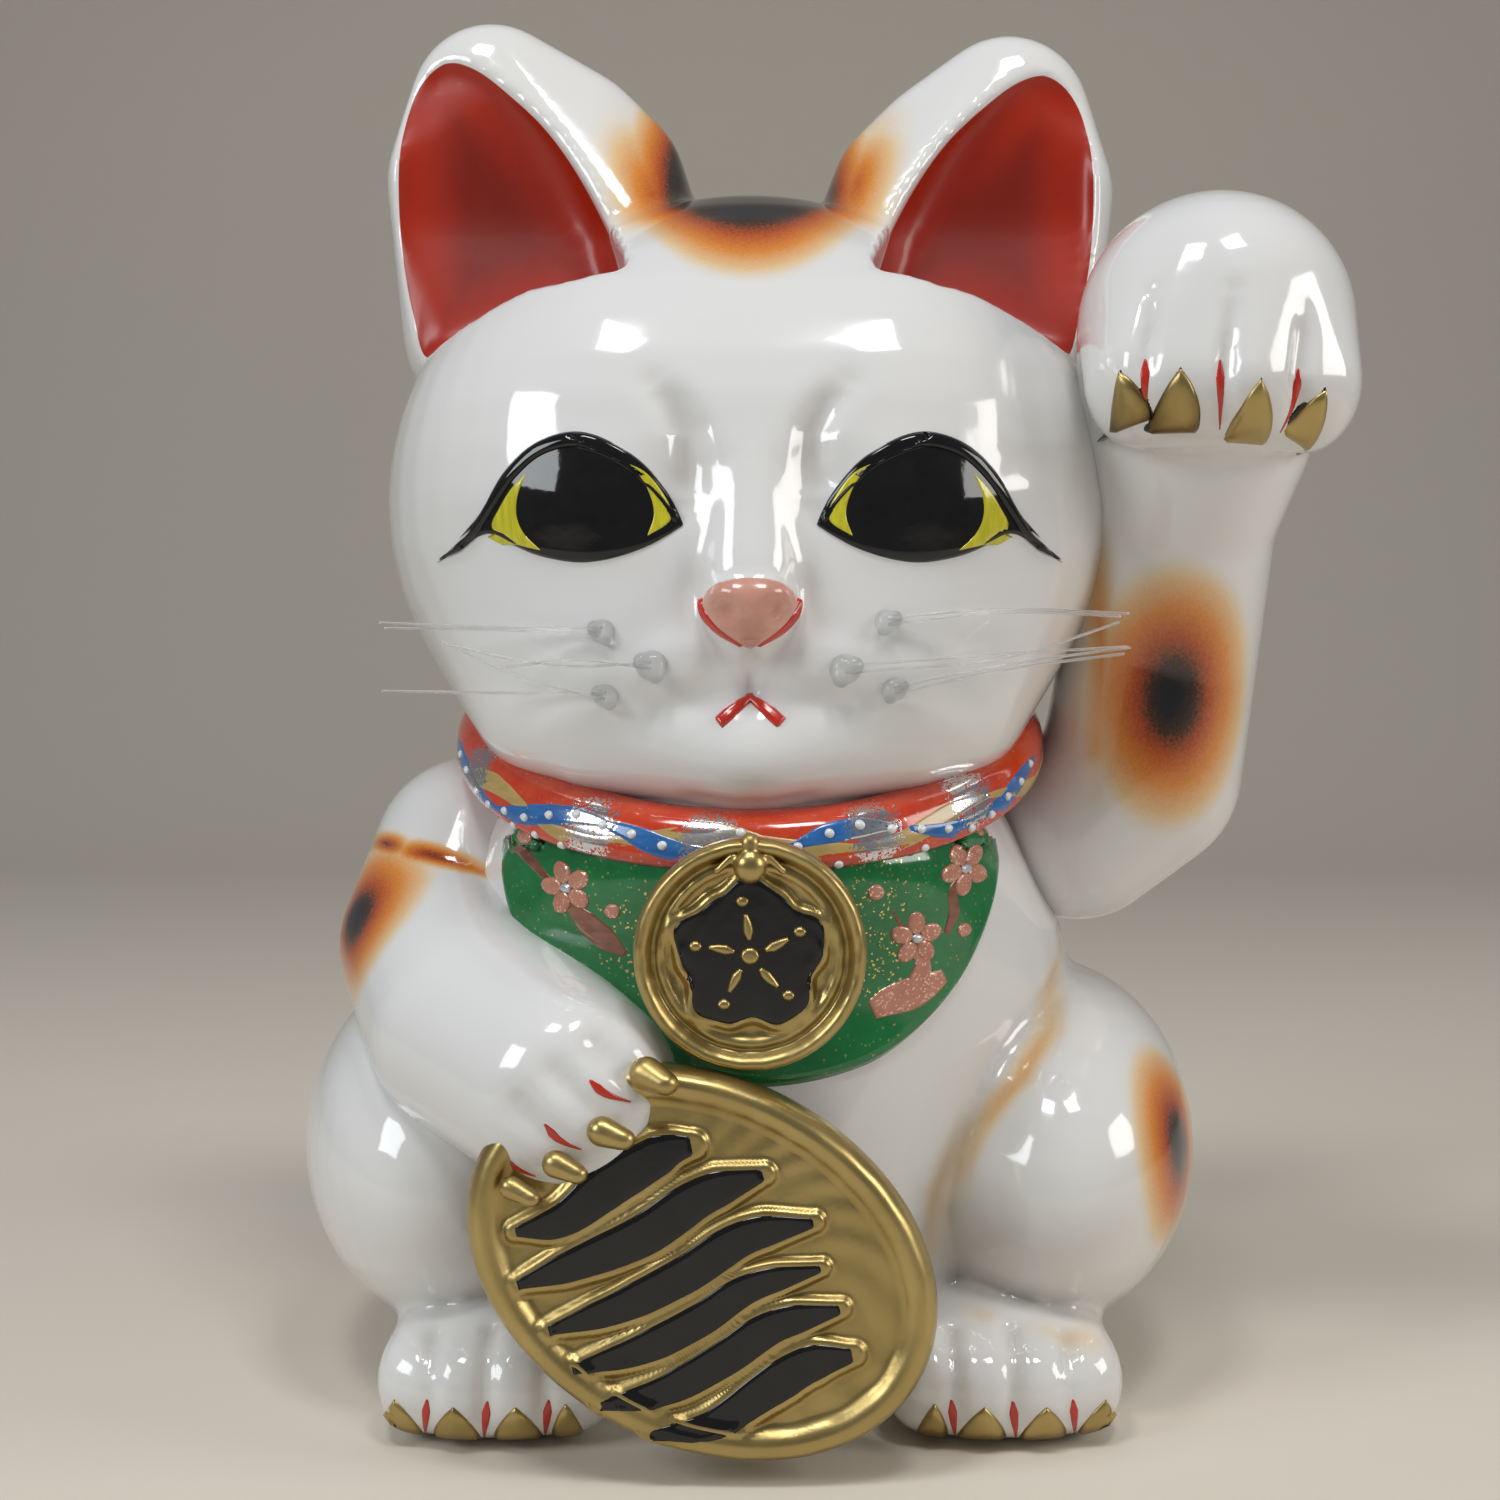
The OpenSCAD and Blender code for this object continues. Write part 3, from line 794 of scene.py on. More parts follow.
for side, place in ((-1, "left"), (1, "right")):
    turned = flip if side < 0 else (lambda edges: edges)
    top = [(14.3, 200.5), (18, 208), (25, 215.5), (36, 220.8), (46, 219), (53.5, 213), (58, 206), (61.5, 200),
           (65.5, 196.3), (70.8, 193.5)]
    low = [(14.3, 200.5), (18, 198), (23, 195.3), (30, 193), (37, 192.2), (45, 193.5), (51, 195.8),
           (56.5, 198.8), (60.5, 198.2), (65, 195.3), (70.8, 193.5)]
    eye = painted(place + "_eye_black", head, from_front, turned((top, low)), 0.7, (64, 22), 1.2, settle=8)
    lid = [(14.6, 200.8), (19.2, 208.3), (26, 214.6), (36, 218.9), (45.5, 217.2), (52.3, 211.6), (57, 205),
           (60.8, 199.6), (65, 196), (70.6, 193.6)]
    lid_stroke = stroke(lid, (0.6, 2.6, 3.4, 3.8, 3.6, 3.2, 2.8, 2.4, 1.6, 0.3))
    lash = painted(place + "_upper_lid", eye, from_front, turned(lid_stroke), 0.9, (72, 6), 1.4)
    outer_yellow = ([(48.3, 212), (50.3, 207.5), (50.6, 203), (49, 198.8), (45.2, 195)],
                    [(48.3, 212), (52, 208.8), (55, 204.5), (57.2, 200.2), (52.6, 196.8), (45.2, 195)])
    inner_yellow = ([(27.3, 214), (24, 211), (21.7, 207), (20.8, 202.5), (22.2, 197.9)],
                    [(27.3, 214), (22.4, 211.8), (18.6, 207.3), (16.6, 203), (17.6, 200.6), (22.2, 197.9)])
    outer = painted(place + "_yellow_outer", eye, from_front, turned(outer_yellow), 0.3, (24, 8), 0.4)
    inner = painted(place + "_yellow_inner", eye, from_front, turned(inner_yellow), 0.3, (24, 8), 0.4)
    deliver(as_one(place + "_eye", [eye, lash]), black, "glaze")
    deliver(as_one(place + "_iris", [outer, inner]), yellow, "glaze")

nose_edges = (
    [(-10, 183.3), (-8.6, 186.5), (-5.2, 188.3), (0, 189), (5.2, 188.3), (8.6, 186.5), (10, 183.3)],
    [(-10, 183.3), (-7, 178.9), (-2.5, 175.4), (0, 173.9), (2.5, 175.4), (7, 178.9), (10, 183.3)])
nose = painted("nose_pink", head, from_front, nose_edges, 0.9, (36, 26), 0.8, settle=1)
for side in (-1, 1):
    press_spot(nose, (side * 5.6, -97, 182.6), (2.6, 9, 2.4), 0.6)
deliver(nose, pink, "glaze")

nose_edge = stroke([(10.6, 184.8), (9.8, 181.6), (6.6, 178.0), (1.2, 174.6)], (1.0, 2.4, 1.8, 1.3, 0.8))
mouth = stroke([(-0.9, 163.9), (3, 161.3), (6.9, 157.9)], (1.2, 2.4, 3.1, 3.0))
red_strokes = [painted("lip", head, from_front, edges, film, (20, 5), 0.5) for edges, film in (
    (flip(nose_edge), 1.0), (flip(mouth), 0.75), (nose_edge, 1.0), (mouth, 0.75))]
deliver(as_one("nose_edge_and_mouth_red", red_strokes), red, "glaze")

# ---------------------------------------------------------------------------------------
# Claws and the red strokes between the toes. The claws are raised in the casting and
# painted gold; the strokes are single touches of a loaded brush.
# ---------------------------------------------------------------------------------------
def claw(base, aim, tip, foot, wide, film=1.3):
    """A pointed arch with its foot on the edge of the paw."""
    tip, foot = np.asarray(tip, float), np.asarray(foot, float)
    way = foot - tip
    side = np.array([-way[1], way[0]]) / np.linalg.norm(way) * wide / 2
    edges = [[tip, tip + way * 0.25 + k * side * 0.45, tip + way * 0.6 + k * side * 0.85,
              tip + way * 0.9 + k * side, foot + k * side * 0.9] for k in (-1, 1)]
    return painted("claw", base, aim, edges, film, (16, 10), wide * 0.38, 0.9)


# The black rims laid under the raised paw's claws, a little wider and higher than the claws, are partly dark paint
# and partly painted shadow round the claws' edges.
raised_claws, claw_paint_and_shadow_rims = [], []
for tip, foot, wide in (((80, 234), (84, 222.3), 8), ((92.3, 234), (92.3, 220.6), 11),
                        ((109.2, 231.5), (108.6, 218.6), 10.5), ((125, 230), (120.5, 219), 9)):
    claw_paint_and_shadow_rims.append(claw(raised, from_front, (tip[0], tip[1] + 1.3), foot, wide + 1.6, 0.25))
    raised_claws.append(claw(raised, from_front, tip, foot, wide))
foot_claws = []
for side in (-1, 1):
    for tip_x, x, wide in ((40, 40, 7), (50.6, 50.6, 11), (64, 64, 11), (77.5, 76, 9)):
        foot_claws.append(claw(body, from_front, (side * tip_x, 10.6), (side * x, 0.9), wide))


def tab(start, end, r):
    """One claw of the paw that grips the coin, a short rounded tab."""
    return stretched_over([ball(start, (r, r, r)), ball(end, (r * 0.8, r * 0.8, r * 0.7))])


grip_claws = [tab(*marks) for marks in (
    ((-21.5, -108.5, 86), (-17.5, -111.5, 84.5), 3.6), ((-30.5, -112.5, 74.8), (-26, -114, 73.5), 3.2),
    ((-40, -113.3, 68.2), (-35.5, -114.5, 66.4), 2.9), ((-49.5, -111.5, 62.8), (-45, -113.5, 61), 2.5))]
grip = cast("grip_claws", grip_claws, 0.5, 3)
claws = as_one("claws_gold", raised_claws + foot_claws)
paint_hollow_shade(claws, 4)
deliver(claws, gold, "gold_paint")
paint_hollow_shade(grip, 6)
deliver(grip, gold, "gold_paint")

# Black rims round the raised paw's claws: dark paint and painted shadow.
deliver(as_one("claw_paint_and_shadow_rims_black", claw_paint_and_shadow_rims), black, "glaze")

touches = []
for base, marks in (
        (raised, (((85.4, 236.5), (85.2, 230), (86.2, 223.5)), ((100.8, 236), (100.9, 229), (102.3, 221)),
                  ((118.6, 234.5), (118, 228), (115.8, 220.5)))),
        (lowered, (((-33.2, 85.5), (-30, 82.6), (-24.5, 80.2)), ((-42.5, 76.3), (-39.5, 73), (-34.6, 70.8)),
                   ((-52, 68.5), (-49, 66), (-44.5, 64.2)))),
        (body, [((side * x, 11.5), (side * (x + 0.6), 6), (side * (x + 1.4), 0.8)) for side in (-1, 1)
                for x in (43.6, 56.8, 70)])):
    for path in marks:
        touch = stroke(path, (0.5, 2.2, 1.7, 0.9, 0.4))
        touches.append(painted("touch", base, from_front, touch, 0.35, (22, 5), 0.5))
deliver(as_one("toe_strokes_red", touches), red, "glaze")


# ---------------------------------------------------------------------------------------
# Collar: a rounded band round the neck, wider below, lower at the front. Red enamel with a
# blue and an ochre wave brushed across each other, dabbed silver glitter and white dots.
# ---------------------------------------------------------------------------------------
collar_middle = np.array([0, -18, 149.5])
collar_lean = math.radians(12.5)
half_high = 6.8
side_lift = 3.5


def leant(x, y, z):
    """From the collar's own level plane to its place round the neck."""
    c, s = math.cos(collar_lean), math.sin(collar_lean)
    return np.stack([np.asarray(x) + 0.0 * y, y * c - z * s, y * s + z * c], axis=-1) + collar_middle


def make_collar():
    pick_none()
    bpy.ops.mesh.primitive_torus_add(major_segments=220, minor_segments=36, major_radius=1,
                                     minor_radius=0.25)
    band = bpy.context.object
    band.name = "collar_band"
    band.data.name = "collar_band"
    x, y, z = (skin(band)[0] * MM).T
    turn, spin = np.arctan2(y, x), np.arctan2(z, np.hypot(x, y) - 1)
    c, s = np.cos(spin), np.sin(spin)
    rise = np.sign(s) * np.abs(s) ** 0.65 * half_high
    rise *= np.where(rise > 0, 1 - 0.36 * np.clip(-np.sin(turn), 0, 1) ** 3, 1)
    flare = 0.1 + 0.5 * np.sin(turn) ** 2
    out = np.sign(c) * np.abs(c) ** 0.65 * 5 - flare * rise + 0.8 * (1 - (rise / half_high) ** 2)
    lift = side_lift * np.cos(turn) ** 4
    set_skin(band, leant((66 + out) * np.cos(turn), (71.5 + out) * np.sin(turn), rise + lift))
    bpy.ops.object.shade_smooth()
    return band


def on_collar(u, v):
    """u mm round the neck from the front, v mm up the band."""
    t = u / 72
    spot = leant(69 * math.sin(t), -75 * math.cos(t), v + side_lift * math.sin(t) ** 4)
    way = leant(-math.sin(t), math.cos(t), 0) - collar_middle
    return tuple(spot), tuple(way)


def dust(piece, places, reach, share):
    """Glitter dabbed on with a sponge, densest in the middle of each dab."""
    points, _ = skin(piece)
    amount = np.zeros(len(points))
    for place in places:
        gap = np.linalg.norm(points - np.asarray(place), axis=1)
        amount = np.maximum(amount, share * np.clip((reach - gap) / (0.35 * reach), 0, 1))
    layer(piece, "dust", amount)


collar_red = enamel("collar_red", (0.58, 0.035, 0.012), (0.62, 0.07, 0.02), 0.13, dust=0.0)
blue = enamel("blue_enamel", (0.018, 0.11, 0.36), (0.03, 0.17, 0.46), 0.16, (1, 1, 4), dust=0.0)
ochre = enamel("ochre_enamel", (0.52, 0.36, 0.12), (0.42, 0.29, 0.10), 0.2, (1, 1, 4), dust=0.0)
white = enamel("white_enamel", (0.78, 0.78, 0.77), (0.70, 0.72, 0.74), 0.18)
collar = make_collar()
glitter = [on_collar(u, v)[0] for u, v in ((-79, 0), (-37, -1.5), (-9, -1.5), (28, -1), (56, 1.5))]


wave_level, wave_high, crest_gap = -1.1, 2.6, 62.1


def wave_at(u, phase):
    return wave_level + wave_high * math.sin(u / crest_gap * math.tau + phase)


def wave(start, end, phase):
    """A length of wave round the band."""
    return [(u, wave_at(u, phase)) for u in np.linspace(start, end, 7)]


ochre_phase, blue_phase = 2.2, -0.9
ochre_waves = [painted("ochre_wave", collar, on_collar, stroke(wave(a, b, ochre_phase), w), 0.25, (60, 6), 0.5)
               for a, b, w in ((-104, -52, (1.5, 5.6, 5.2, 1.6)), (-56, 6, (1, 5.0, 5.8, 5.0, 1)),
                               (2, 62, (1.5, 5.6, 4.8, 5, 1)), (60, 100, (1, 4.6, 1)))]
blue_waves = [painted("blue_wave", collar, on_collar, stroke(wave(a, b, blue_phase), w), 0.3, (60, 6), 0.5)
              for a, b, w in ((-100, -66, (1.4, 5.8, 5.6, 1.4)), (-68, -30, (1, 5.4, 5.4, 4, 1)),
                              (-34, 12, (1.4, 5.4, 5.8, 5.2, 1.2)), (8, 34, (1, 4.8, 4.4, 1)),
                              (36, 88, (1.2, 5.2, 5.8, 5.2, 1.4)))]
dots = []
for k, u in enumerate(np.arange(-92, 90, 7.3)):
    level = wave_at(u, blue_phase) + 0.5 * math.sin(k * 2.1)
    dots.append(painted("dot", collar, on_collar, disc((u, level), (1.15, 1.05)), 0.85, (10, 8), 1.0))
for u, v in ((-60, -5.4), (-52, -5.2), (-44, -5.6), (-2, 1.6), (12, -5), (19, -5.6), (40, -5.2)):
    dots.append(painted("dot", collar, on_collar, disc((u, v), (1.1, 1.0)), 0.8, (10, 8), 1.0))
for name, group, paint in (("collar_ochre_waves", ochre_waves, ochre),
                           ("collar_blue_waves", blue_waves, blue)):
    whole = as_one(name, group)
    dust(whole, glitter, 8.0, 0.85)
    deliver(whole, paint, "collar_enamel")
deliver(as_one("collar_white_dots", dots), white, "collar_enamel")
dust(collar, glitter, 8.0, 0.85)
deliver(collar, collar_red, "collar_enamel", "collar")

# ---------------------------------------------------------------------------------------
# Bib: a low raised shield cast with the chest, in green enamel. Two plum twigs in copper
# glitter with silver hearts, and gold dust shaken over the wet colour.
# ---------------------------------------------------------------------------------------
bib_low = [(-57, 138), (-57.5, 124.5), (-53, 110), (-44.5, 96), (-32, 85.5), (-18.5, 80.7), (0, 79),
           (18.5, 80.7), (32, 85.5), (44.5, 96), (53, 110), (57.5, 124.5), (57, 138)]
bib_top = [(-57, 139), (-40, 138), (-20, 134), (0, 133), (20, 134), (40, 138), (57, 139)]
bib = painted("bib_shield", body, from_front, (bib_low, bib_top), 1.9, (110, 44), 1.8, 2.2, settle=30)
green = enamel("green_enamel", (0.004, 0.15, 0.035), (0.006, 0.19, 0.05), 0.12, dust=0.004,
               dust_colour=(0.80, 0.58, 0.20))
copper = enamel("copper_glitter", (0.46, 0.165, 0.105), (0.56, 0.24, 0.165), 0.32, dust=0.16,
                dust_colour=(0.85, 0.55, 0.40), metal=0.35)
umber = enamel("umber_wash", (0.16, 0.055, 0.03), (0.30, 0.12, 0.07), 0.2, (1, 1, 3), metal=0.2)
silver = enamel("silver_paint", (0.70, 0.72, 0.74), (0.55, 0.58, 0.62), 0.3, metal=0.7)
shaken_over = ((28, 116), (30, 106), (-44, 128), (-50, 122), (40, 122), (-26, 108), (24, 126))
dust(bib, [(x, -92, z) for x, z in shaken_over], 15.0, 0.05)
petals, hearts, woods, washes = [], [], [], []
for x, z, turn in ((-40.5, 121, 0.3), (36.6, 110, 0.0), (48.2, 124.4, 0.5)):
    for k in range(5):
        angle = math.pi / 2 + turn + k * math.tau / 5
        petal_at = (x + 3.5 * math.cos(angle), z + 3.5 * math.sin(angle))
        petals.append(painted("petal", bib, from_front, disc(petal_at, (2.6, 2.2), angle), 0.55, (14, 10), 1.1))
    hearts.append(painted("heart", bib, from_front, disc((x, z), (1.35, 1.3)), 1.0, (10, 8), 1.0))
for x, z, r in ((-50.7, 131.3, 1.9), (-30, 116.6, 1.8), (27.3, 121, 1.9), (48, 110.7, 1.7), (53, 133, 2.0)):
    petals.append(painted("bud", bib, from_front, disc((x, z), (r, r)), 0.6, (12, 10), 1.0))
for path, widths in (([(26.5, 94.5), (31, 96.5), (37, 98), (43.5, 101)], (4.5, 7, 8, 6.5, 3.5)),
                     ([(37.5, 100), (38.2, 104), (37, 108)], (6, 4, 3.2))):
    woods.append(painted("trunk", bib, from_front, stroke(path, widths), 0.4, (26, 10), 0.8))
for path, widths in (([(43.5, 110), (45.5, 115), (45, 120), (47.5, 123)], (1.6, 3.2, 2.4, 1.6)),
                     ([(31, 117), (33, 113.5), (35.5, 111.5)], (0.4, 1.2, 1.0)),
                     ([(-56, 130), (-50, 126.5), (-44, 121.5)], (2.2, 3.0, 1.8)),
                     ([(-40, 117.5), (-34.5, 112.5), (-27, 107)], (2.5, 6.0, 6.2, 1.5))):
    washes.append(painted("twig", bib, from_front, stroke(path, widths), 0.25, (24, 8), 0.6))
for name, group, paint in (("bib_petals", petals, copper), ("bib_trunk", woods, copper),
                           ("bib_twigs", washes, umber), ("bib_hearts", hearts, silver)):
    deliver(as_one(name, group), paint, "bib_enamel")
deliver(bib, green, "bib_enamel", "bib")

# ---------------------------------------------------------------------------------------
# Medal: a pressed round pendant, painted gold, that hangs from the collar over the bib. A
# rounded rim, a groove, and a raised field that carries a black blossom with gold stamens.
# ---------------------------------------------------------------------------------------
def turned_piece(name, profile, spot, segments):
    """A piece swept round: the profile runs from the middle of its face, over the rim, to its back."""
    pick_none()
    bpy.ops.mesh.primitive_uv_sphere_add(segments=segments, ring_count=len(profile) - 1, radius=1)
    piece = bpy.context.object
    piece.name = name
    piece.data.name = name
    x, y, z = (skin(piece)[0] * MM).T
    row = np.round(np.arccos(np.clip(z, -1, 1)) / math.pi * (len(profile) - 1)).astype(int)
    set_skin(piece, spot(np.asarray(profile, float)[row], np.arctan2(y, x)))
    bpy.ops.object.shade_smooth()
    bpy.ops.object.mode_set(mode="EDIT")
    bpy.ops.mesh.select_all(action="SELECT")
    bpy.ops.mesh.normals_make_consistent(inside=False)
    bpy.ops.object.mode_set(mode="OBJECT")
    return piece


def plateau(gap, flat, slope):
    """1 where the gap is under flat, falling smoothly to 0 over the slope."""
    t = np.clip((flat + slope - gap) / slope, 0, 1)
    return t * t * (3 - 2 * t)


medal_at = (0, 109.8)


def medal_spot(row, turn):
    r, h = row.T
    return np.stack([medal_at[0] + r * np.cos(turn), -96.6 - h, medal_at[1] + r * np.sin(turn)], axis=1)


def blossom(turn, r):
    return r * (1 + 0.10 * np.cos(5 * (turn - math.pi / 2)) + 0.03 * np.cos(11 * turn + 1))


medal_rim = [(17.2, 4.7), (17.9, 5.3), (18.6, 5.9), (19.3, 5.8), (19.9, 5.2), (20.4, 5.0), (20.9, 5.5),
             (21.5, 6.6), (22.2, 7.5), (23, 7.9), (23.8, 7.5), (24.4, 6.4), (24.6, 4.8), (24.6, 2.4),
             (24.2, 0.8), (23, 0), (12, 0), (0, 0)]
medal = turned_piece("medal_disc", [(r, 4.6) for r in np.linspace(0, 16.5, 40)] + medal_rim, medal_spot, 160)
points, _ = skin(medal)
x, z = points[:, 0] - medal_at[0], points[:, 2] - medal_at[1]
far, turn = np.hypot(x, z), np.arctan2(z, x)
face = points[:, 1] < -98.5
points[:, 1] -= face * 1.7 * plateau(far - blossom(turn, 15.6), 0.0, 1.8)
points[:, 1] -= face * (0.12 * np.sin(x * 1.3 + 1) * np.sin(z * 1.1))
set_skin(medal, points)


def on_medal(u, v):
    return (medal_at[0] + u, -100, medal_at[1] + v), (0, 1, 0)


half = np.linspace(0, math.pi, 60)
petal_edges = []
for sign in (-1, 1):
    r = blossom(sign * (math.pi - half), 15.1)
    petal_edges.append(np.stack([-np.cos(half) * r, sign * np.sin(half) * r], axis=1))
medal_black = painted("medal_black_field", medal, on_medal, petal_edges, 0.4, (56, 44), 0.6, settle=14)
stamens = [painted("bead", medal_black, on_medal, disc((0, 0), (2.0, 2.0)), 1.2, (14, 12), 1.3)]
for k in range(5):
    bend = [math.radians(90 + 72 * k) + 0.012 * r for r in (3.2, 6, 9, 11.6)]
    path = [(r * math.cos(turn), r * math.sin(turn)) for r, turn in zip((3.2, 6, 9), bend)]
    tip = (11.6 * math.cos(bend[3]), 11.6 * math.sin(bend[3]))
    thread = stroke(path, (0.9, 2.4, 2.0, 0.9))
    stamens.append(painted("thread", medal_black, on_medal, thread, 1.1, (26, 8), 1.0))
    stamens.append(painted("bead", medal_black, on_medal, disc(tip, (1.4, 1.3)), 1.2, (12, 10), 1.3))
boss_lumps = [ball((0, -103.6, 128.6), (3.6, 3.2, 3.7)), ball((0, -103, 133.3), (2.2, 2.2, 2.4))]
for side in (-1, 1):
    boss_lumps.append(stretched_over([ball((side * 3.6, -103.2, 130.8), (1, 1, 1)),
                                      ball((side * 7, -103, 127.6), (0.8, 1, 0.8))]))
medal_gold = as_one("medal_gold", [medal, cast("medal_hanger", boss_lumps, 0.5, 6)] + stamens)
paint_hollow_shade(medal_gold, 5)
deliver(medal_gold, gold, "gold_paint", "medal")
deliver(medal_black, black, "gold_paint")

# ---------------------------------------------------------------------------------------
# Coin: an oval slab luted to the belly and held by the lowered paw. Gold paint, a rounded
# rim, a faintly hammered field, and raised black waves in place of writing.
# ---------------------------------------------------------------------------------------
coin_middle = np.array([-10, -98, 45])
coin_lean = math.radians(4)
coin_up = np.array([0, math.sin(coin_lean), math.cos(coin_lean)])
coin_out = np.array([0, -math.cos(coin_lean), math.sin(coin_lean)])
coin_long, coin_wide = 52, 38.5
coin_turn = math.radians(-27)


def coin_spot(row, turn):
    inset, share, high = row.T
    a, b = (coin_long - inset) * share * np.cos(turn), (coin_wide - inset) * share * np.sin(turn)
    u = a * math.cos(coin_turn) - b * math.sin(coin_turn)
    v = a * math.sin(coin_turn) + b * math.cos(coin_turn)
    return coin_middle + u[:, None] * np.array([1, 0, 0]) + v[:, None] * coin_up + high[:, None] * coin_out


def on_coin(u, v):
    return tuple(coin_middle + u * np.array([1, 0, 0]) + v * coin_up + 8 * coin_out), tuple(-coin_out)


coin_rim = [(7.6, 1, 10.9), (6.8, 1, 11.6), (6.0, 1, 12.4), (5.1, 1, 12.9), (4.1, 1, 13.1), (3.1, 1, 13.0),
            (2.2, 1, 12.5), (1.4, 1, 11.6), (0.7, 1, 10.3), (0.2, 1, 8.6), (0, 1, 6.8), (0, 1, 5),
            (0.3, 1, 3.2), (1, 1, 1.6), (2.2, 1, 0.4), (4, 1, 0), (8, 0.5, 0), (8, 0, 0)]
coin = turned_piece("coin_slab", [(8.4, f, 10.6) for f in np.linspace(0, 1, 64)] + coin_rim, coin_spot, 300)
waves = [stroke(path, widths) + (path, widths) for path, widths in (
    ([(-39, 7), (-29, 9.5), (-19, 17), (-8, 23.5), (-2, 25)], (2, 6.5, 8.5, 10, 10, 9, 4)),
    ([(-38.5, -4), (-26, 0.5), (-12, 6.5), (0, 14.5), (13, 19)], (2, 6.5, 8.5, 9.5, 9.5, 8, 2.5)),
    ([(-32, -13.5), (-17, -8.5), (-3, -1.5), (9, 6), (23.5, 9)], (2, 6, 8, 8.5, 8.5, 7, 2)),
    ([(-27, -21.5), (-13, -17.5), (0, -11), (10, -4.5), (25, -0.5)], (2, 5.5, 7.5, 7.5, 7, 5.5, 1.5)),
    ([(-21.5, -29), (-8, -26), (5, -19), (15, -12.5), (29, -9)], (2, 5.5, 7.5, 8, 8, 6.5, 2)),
    ([(-11, -35), (2, -33), (13, -26), (22, -20.5), (31.5, -18.5)], (2, 5, 7, 8, 9, 8, 3)))]
points, _ = skin(coin)
flat = points - coin_middle
u, v, high = flat[:, 0], flat @ coin_up, flat @ coin_out
front = (high > 10.2) & (high < 12)
rings = np.hypot(u / coin_long, v / coin_wide)
hammer = 0.10 * np.sin(26 * np.arctan2(v, u) + 3 * np.sin(rings * 9)) * np.clip(rings * 2 - 0.6, 0, 1) * front
relief = np.zeros(len(points))
for _, _, path, widths in waves:
    gap, t = near_line(np.stack([u, v], axis=1), along(curve(path), np.linspace(0, 1, 30)))
    half_width = np.interp(t, np.linspace(0, 1, len(widths)), widths) / 2
    relief = np.maximum(relief, plateau(gap - half_width, 0.5, 1.5))
points += ((hammer * (1 - relief) + 1.6 * relief * front)[:, None]) * coin_out
set_skin(coin, points)
coin_blacks = [painted("wave", coin, on_coin, edges[:2], 0.3, (60, 10), 0.7) for edges in waves]
paint_hollow_shade(coin, 5)
deliver(coin, gold, "gold_paint", "coin")
deliver(as_one("coin_black_waves", coin_blacks), black, "gold_paint")

# ---------------------------------------------------------------------------------------
# Whiskers: clear nylon filaments, two to a dab, set into blobs of clear glue on the cheeks.
# ---------------------------------------------------------------------------------------
def clear(name, tint, rough):
    f = Finish(name)
    colour = f.mix(f.span(f.noise(260), 0.3, 0.7), tint, tuple(c * 0.93 for c in tint))
    f.bumps(f.noise(420, 2), 0.25, 0.0003)
    return f.set(Base_Color=colour, Roughness=f.span(f.noise(300), 0.3, 0.7, rough, rough * 2.2), IOR=1.42,
                 Transmission_Weight=0.8)


glue = clear("clear_glue", (0.97, 0.985, 0.98), 0.05)
nylon = clear("clear_nylon", (0.95, 0.95, 0.94), 0.10)


def filament(name, path, thick):
    """A nylon filament along a soft curve."""
    pick_none()
    bpy.ops.curve.primitive_nurbs_path_add()
    thread = bpy.context.object
    thread.data.splines.clear()
    spline = thread.data.splines.new("NURBS")
    line = along(curve(path), np.linspace(0, 1, 8))
    spline.points.add(len(line) - 1)
    for point, place in zip(spline.points, line):
        point.co = (*(Vector(place) * MM), 1)
    spline.use_endpoint_u = True
    spline.order_u = 4
    thread.data.bevel_depth = thick / 2 * MM
    thread.data.bevel_resolution = 3
    thread.data.use_fill_caps = True
    thread.data.resolution_u = 4
    thread.name = name
    bpy.ops.object.convert(target="MESH")
    return bpy.context.object


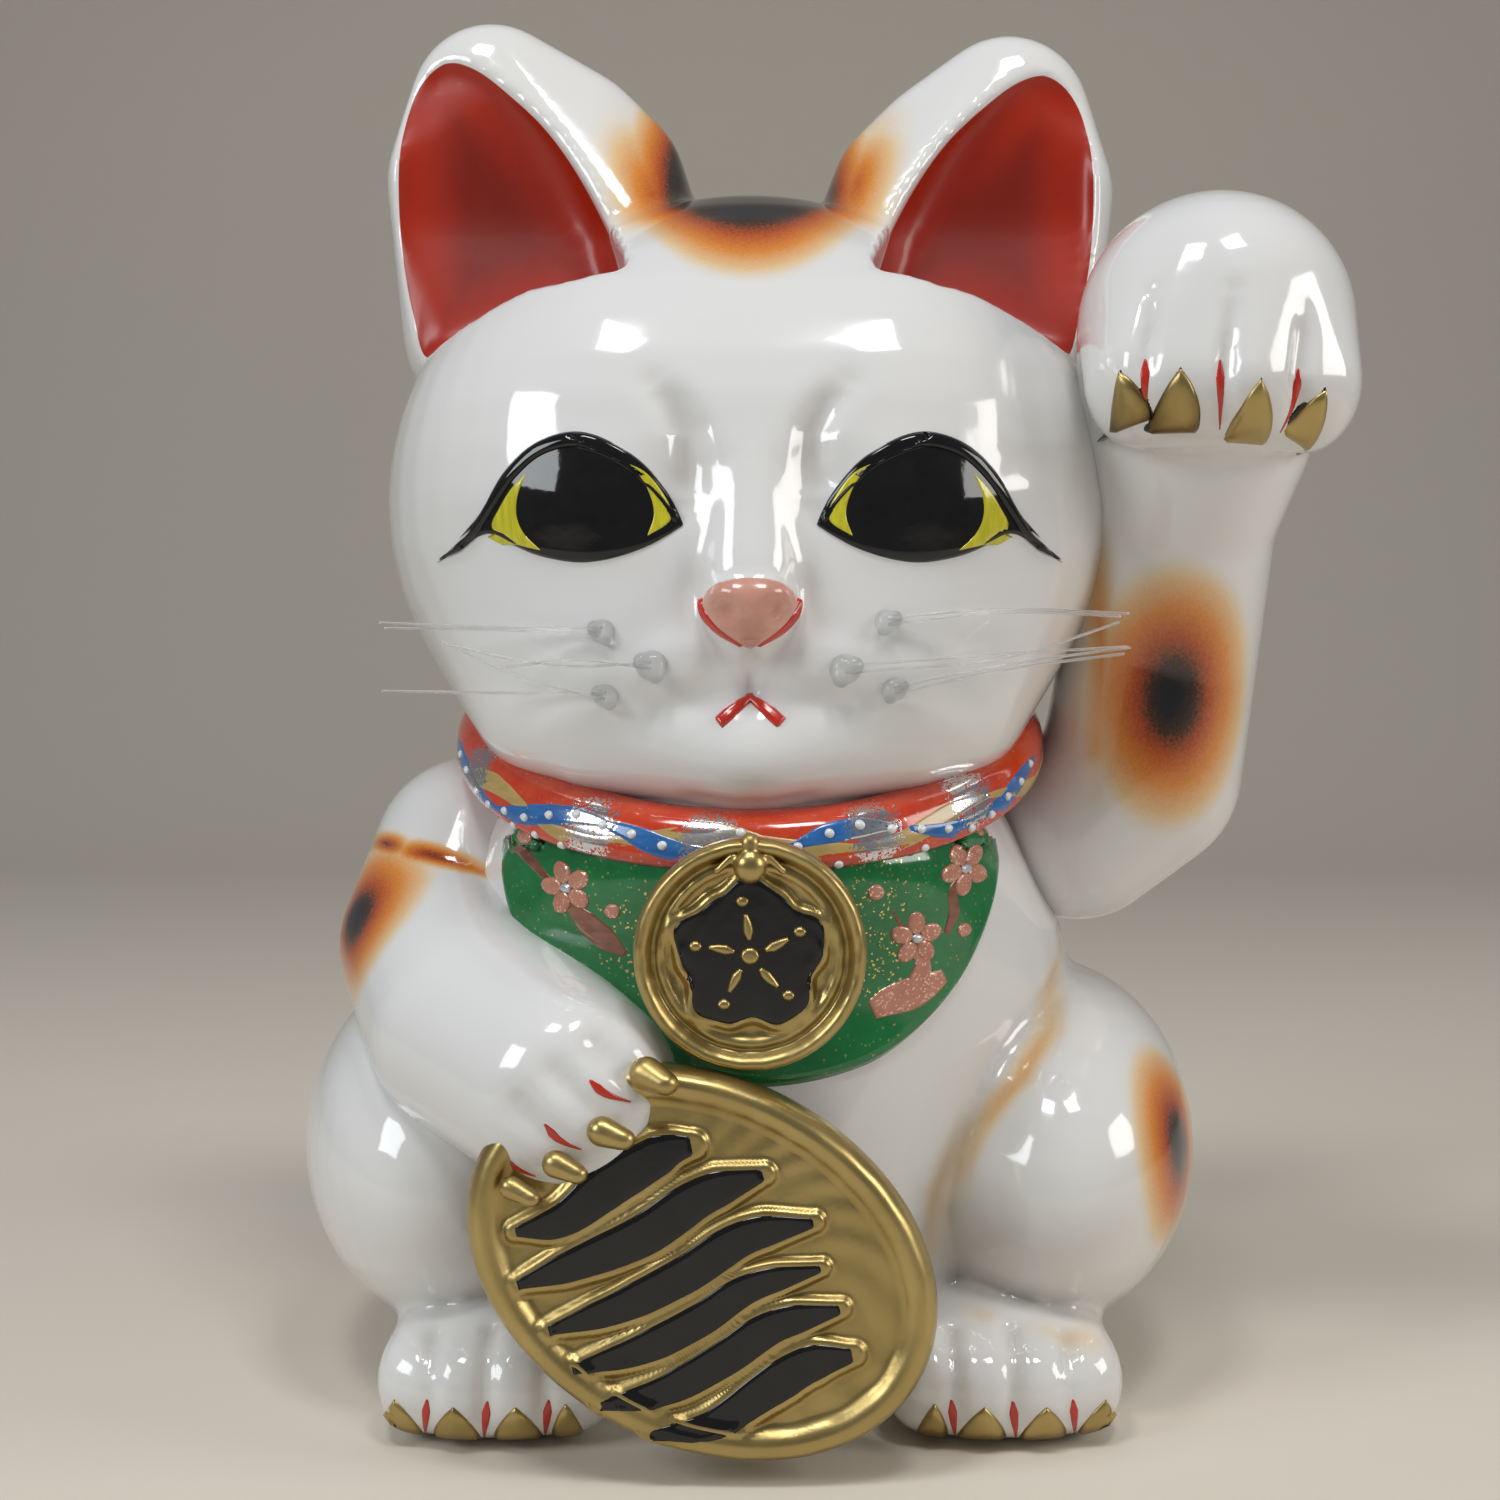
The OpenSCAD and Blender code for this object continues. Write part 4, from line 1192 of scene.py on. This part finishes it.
for place, rows in (
        ("left", (
            ("upper", (-31.8, 177.5), [((-56, -84, 178.5), (-81, -79, 179.4)), ((-56, -84, 178), (-80, -78, 178.2))]),
            ("middle", (-21, 170.2), [((-42, -92, 170.2), (-66, -87, 175)), ((-36, -93, 171.6), (-52, -91, 170))]),
            ("lower", (-31, 163.6), [((-56, -82, 164.2), (-81, -77, 164.4)), ((-48, -86, 167), (-67, -83, 175.4))]))),
        ("right", (
            ("upper", (29.5, 179.6), [((54, -85, 182.4), (83, -78, 181.4)), ((54, -86, 181.8), (81, -79, 180.8))]),
            ("middle", (20.3, 169.4), [((52, -90, 172.6), (82, -82, 174.2)), ((54, -91, 171.8), (80, -83, 179.5))]),
            ("lower", (31, 165), [((56, -85, 170.5), (83, -80, 174)), ((56, -84, 169.4), (82, -78, 172.6))])))):
    for row, (x, z), threads in rows:
        hit = trees["head_casting"].ray_cast(Vector((x, -200, z)) * MM, Vector((0, 1, 0)))[0] / MM
        r = 3.6 if row == "middle" else 2.9
        side = -1 if x < 0 else 1
        spot = place + "_" + row
        blob = cast("glue_dab_" + spot, [
            ball((x, hit.y + 0.3, z), (r, r * 0.85, r * 0.95)),
            ball((x + side * r * 0.55, hit.y - 1.1, z + 0.8), (r * 0.6,) * 3),
            ball((x - side * 0.8, hit.y - 1.3, z - r * 0.5), (r * 0.55, r * 0.5, r * 0.6))], 0.42, 5)
        deliver(blob, glue, "clear_glue", "glue_" + spot)
        strands = [filament("strand", [(x, hit.y - 1.6, z + 0.8 - 1.4 * k), *path], 0.62)
                   for k, path in enumerate(threads)]
        deliver(as_one("whiskers_pair_" + spot, strands), nylon, "nylon", "whiskers_" + spot)

# ---------------------------------------------------------------------------------------
# Underside: an unglazed slab closes the body, and a soft stopper plugs its drain hole.
# Both keep their CAD shapes.
# ---------------------------------------------------------------------------------------
rubber = enamel("stopper_rubber", (0.30, 0.29, 0.28), (0.24, 0.235, 0.23), 0.45, dust=0.003,
                dust_colour=(0.6, 0.58, 0.55))
for node, finish in (("base_plate", clay), ("base_stopper", rubber)):
    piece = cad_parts[node]
    piece.data.materials.clear()
    piece.data.materials.append(finish)
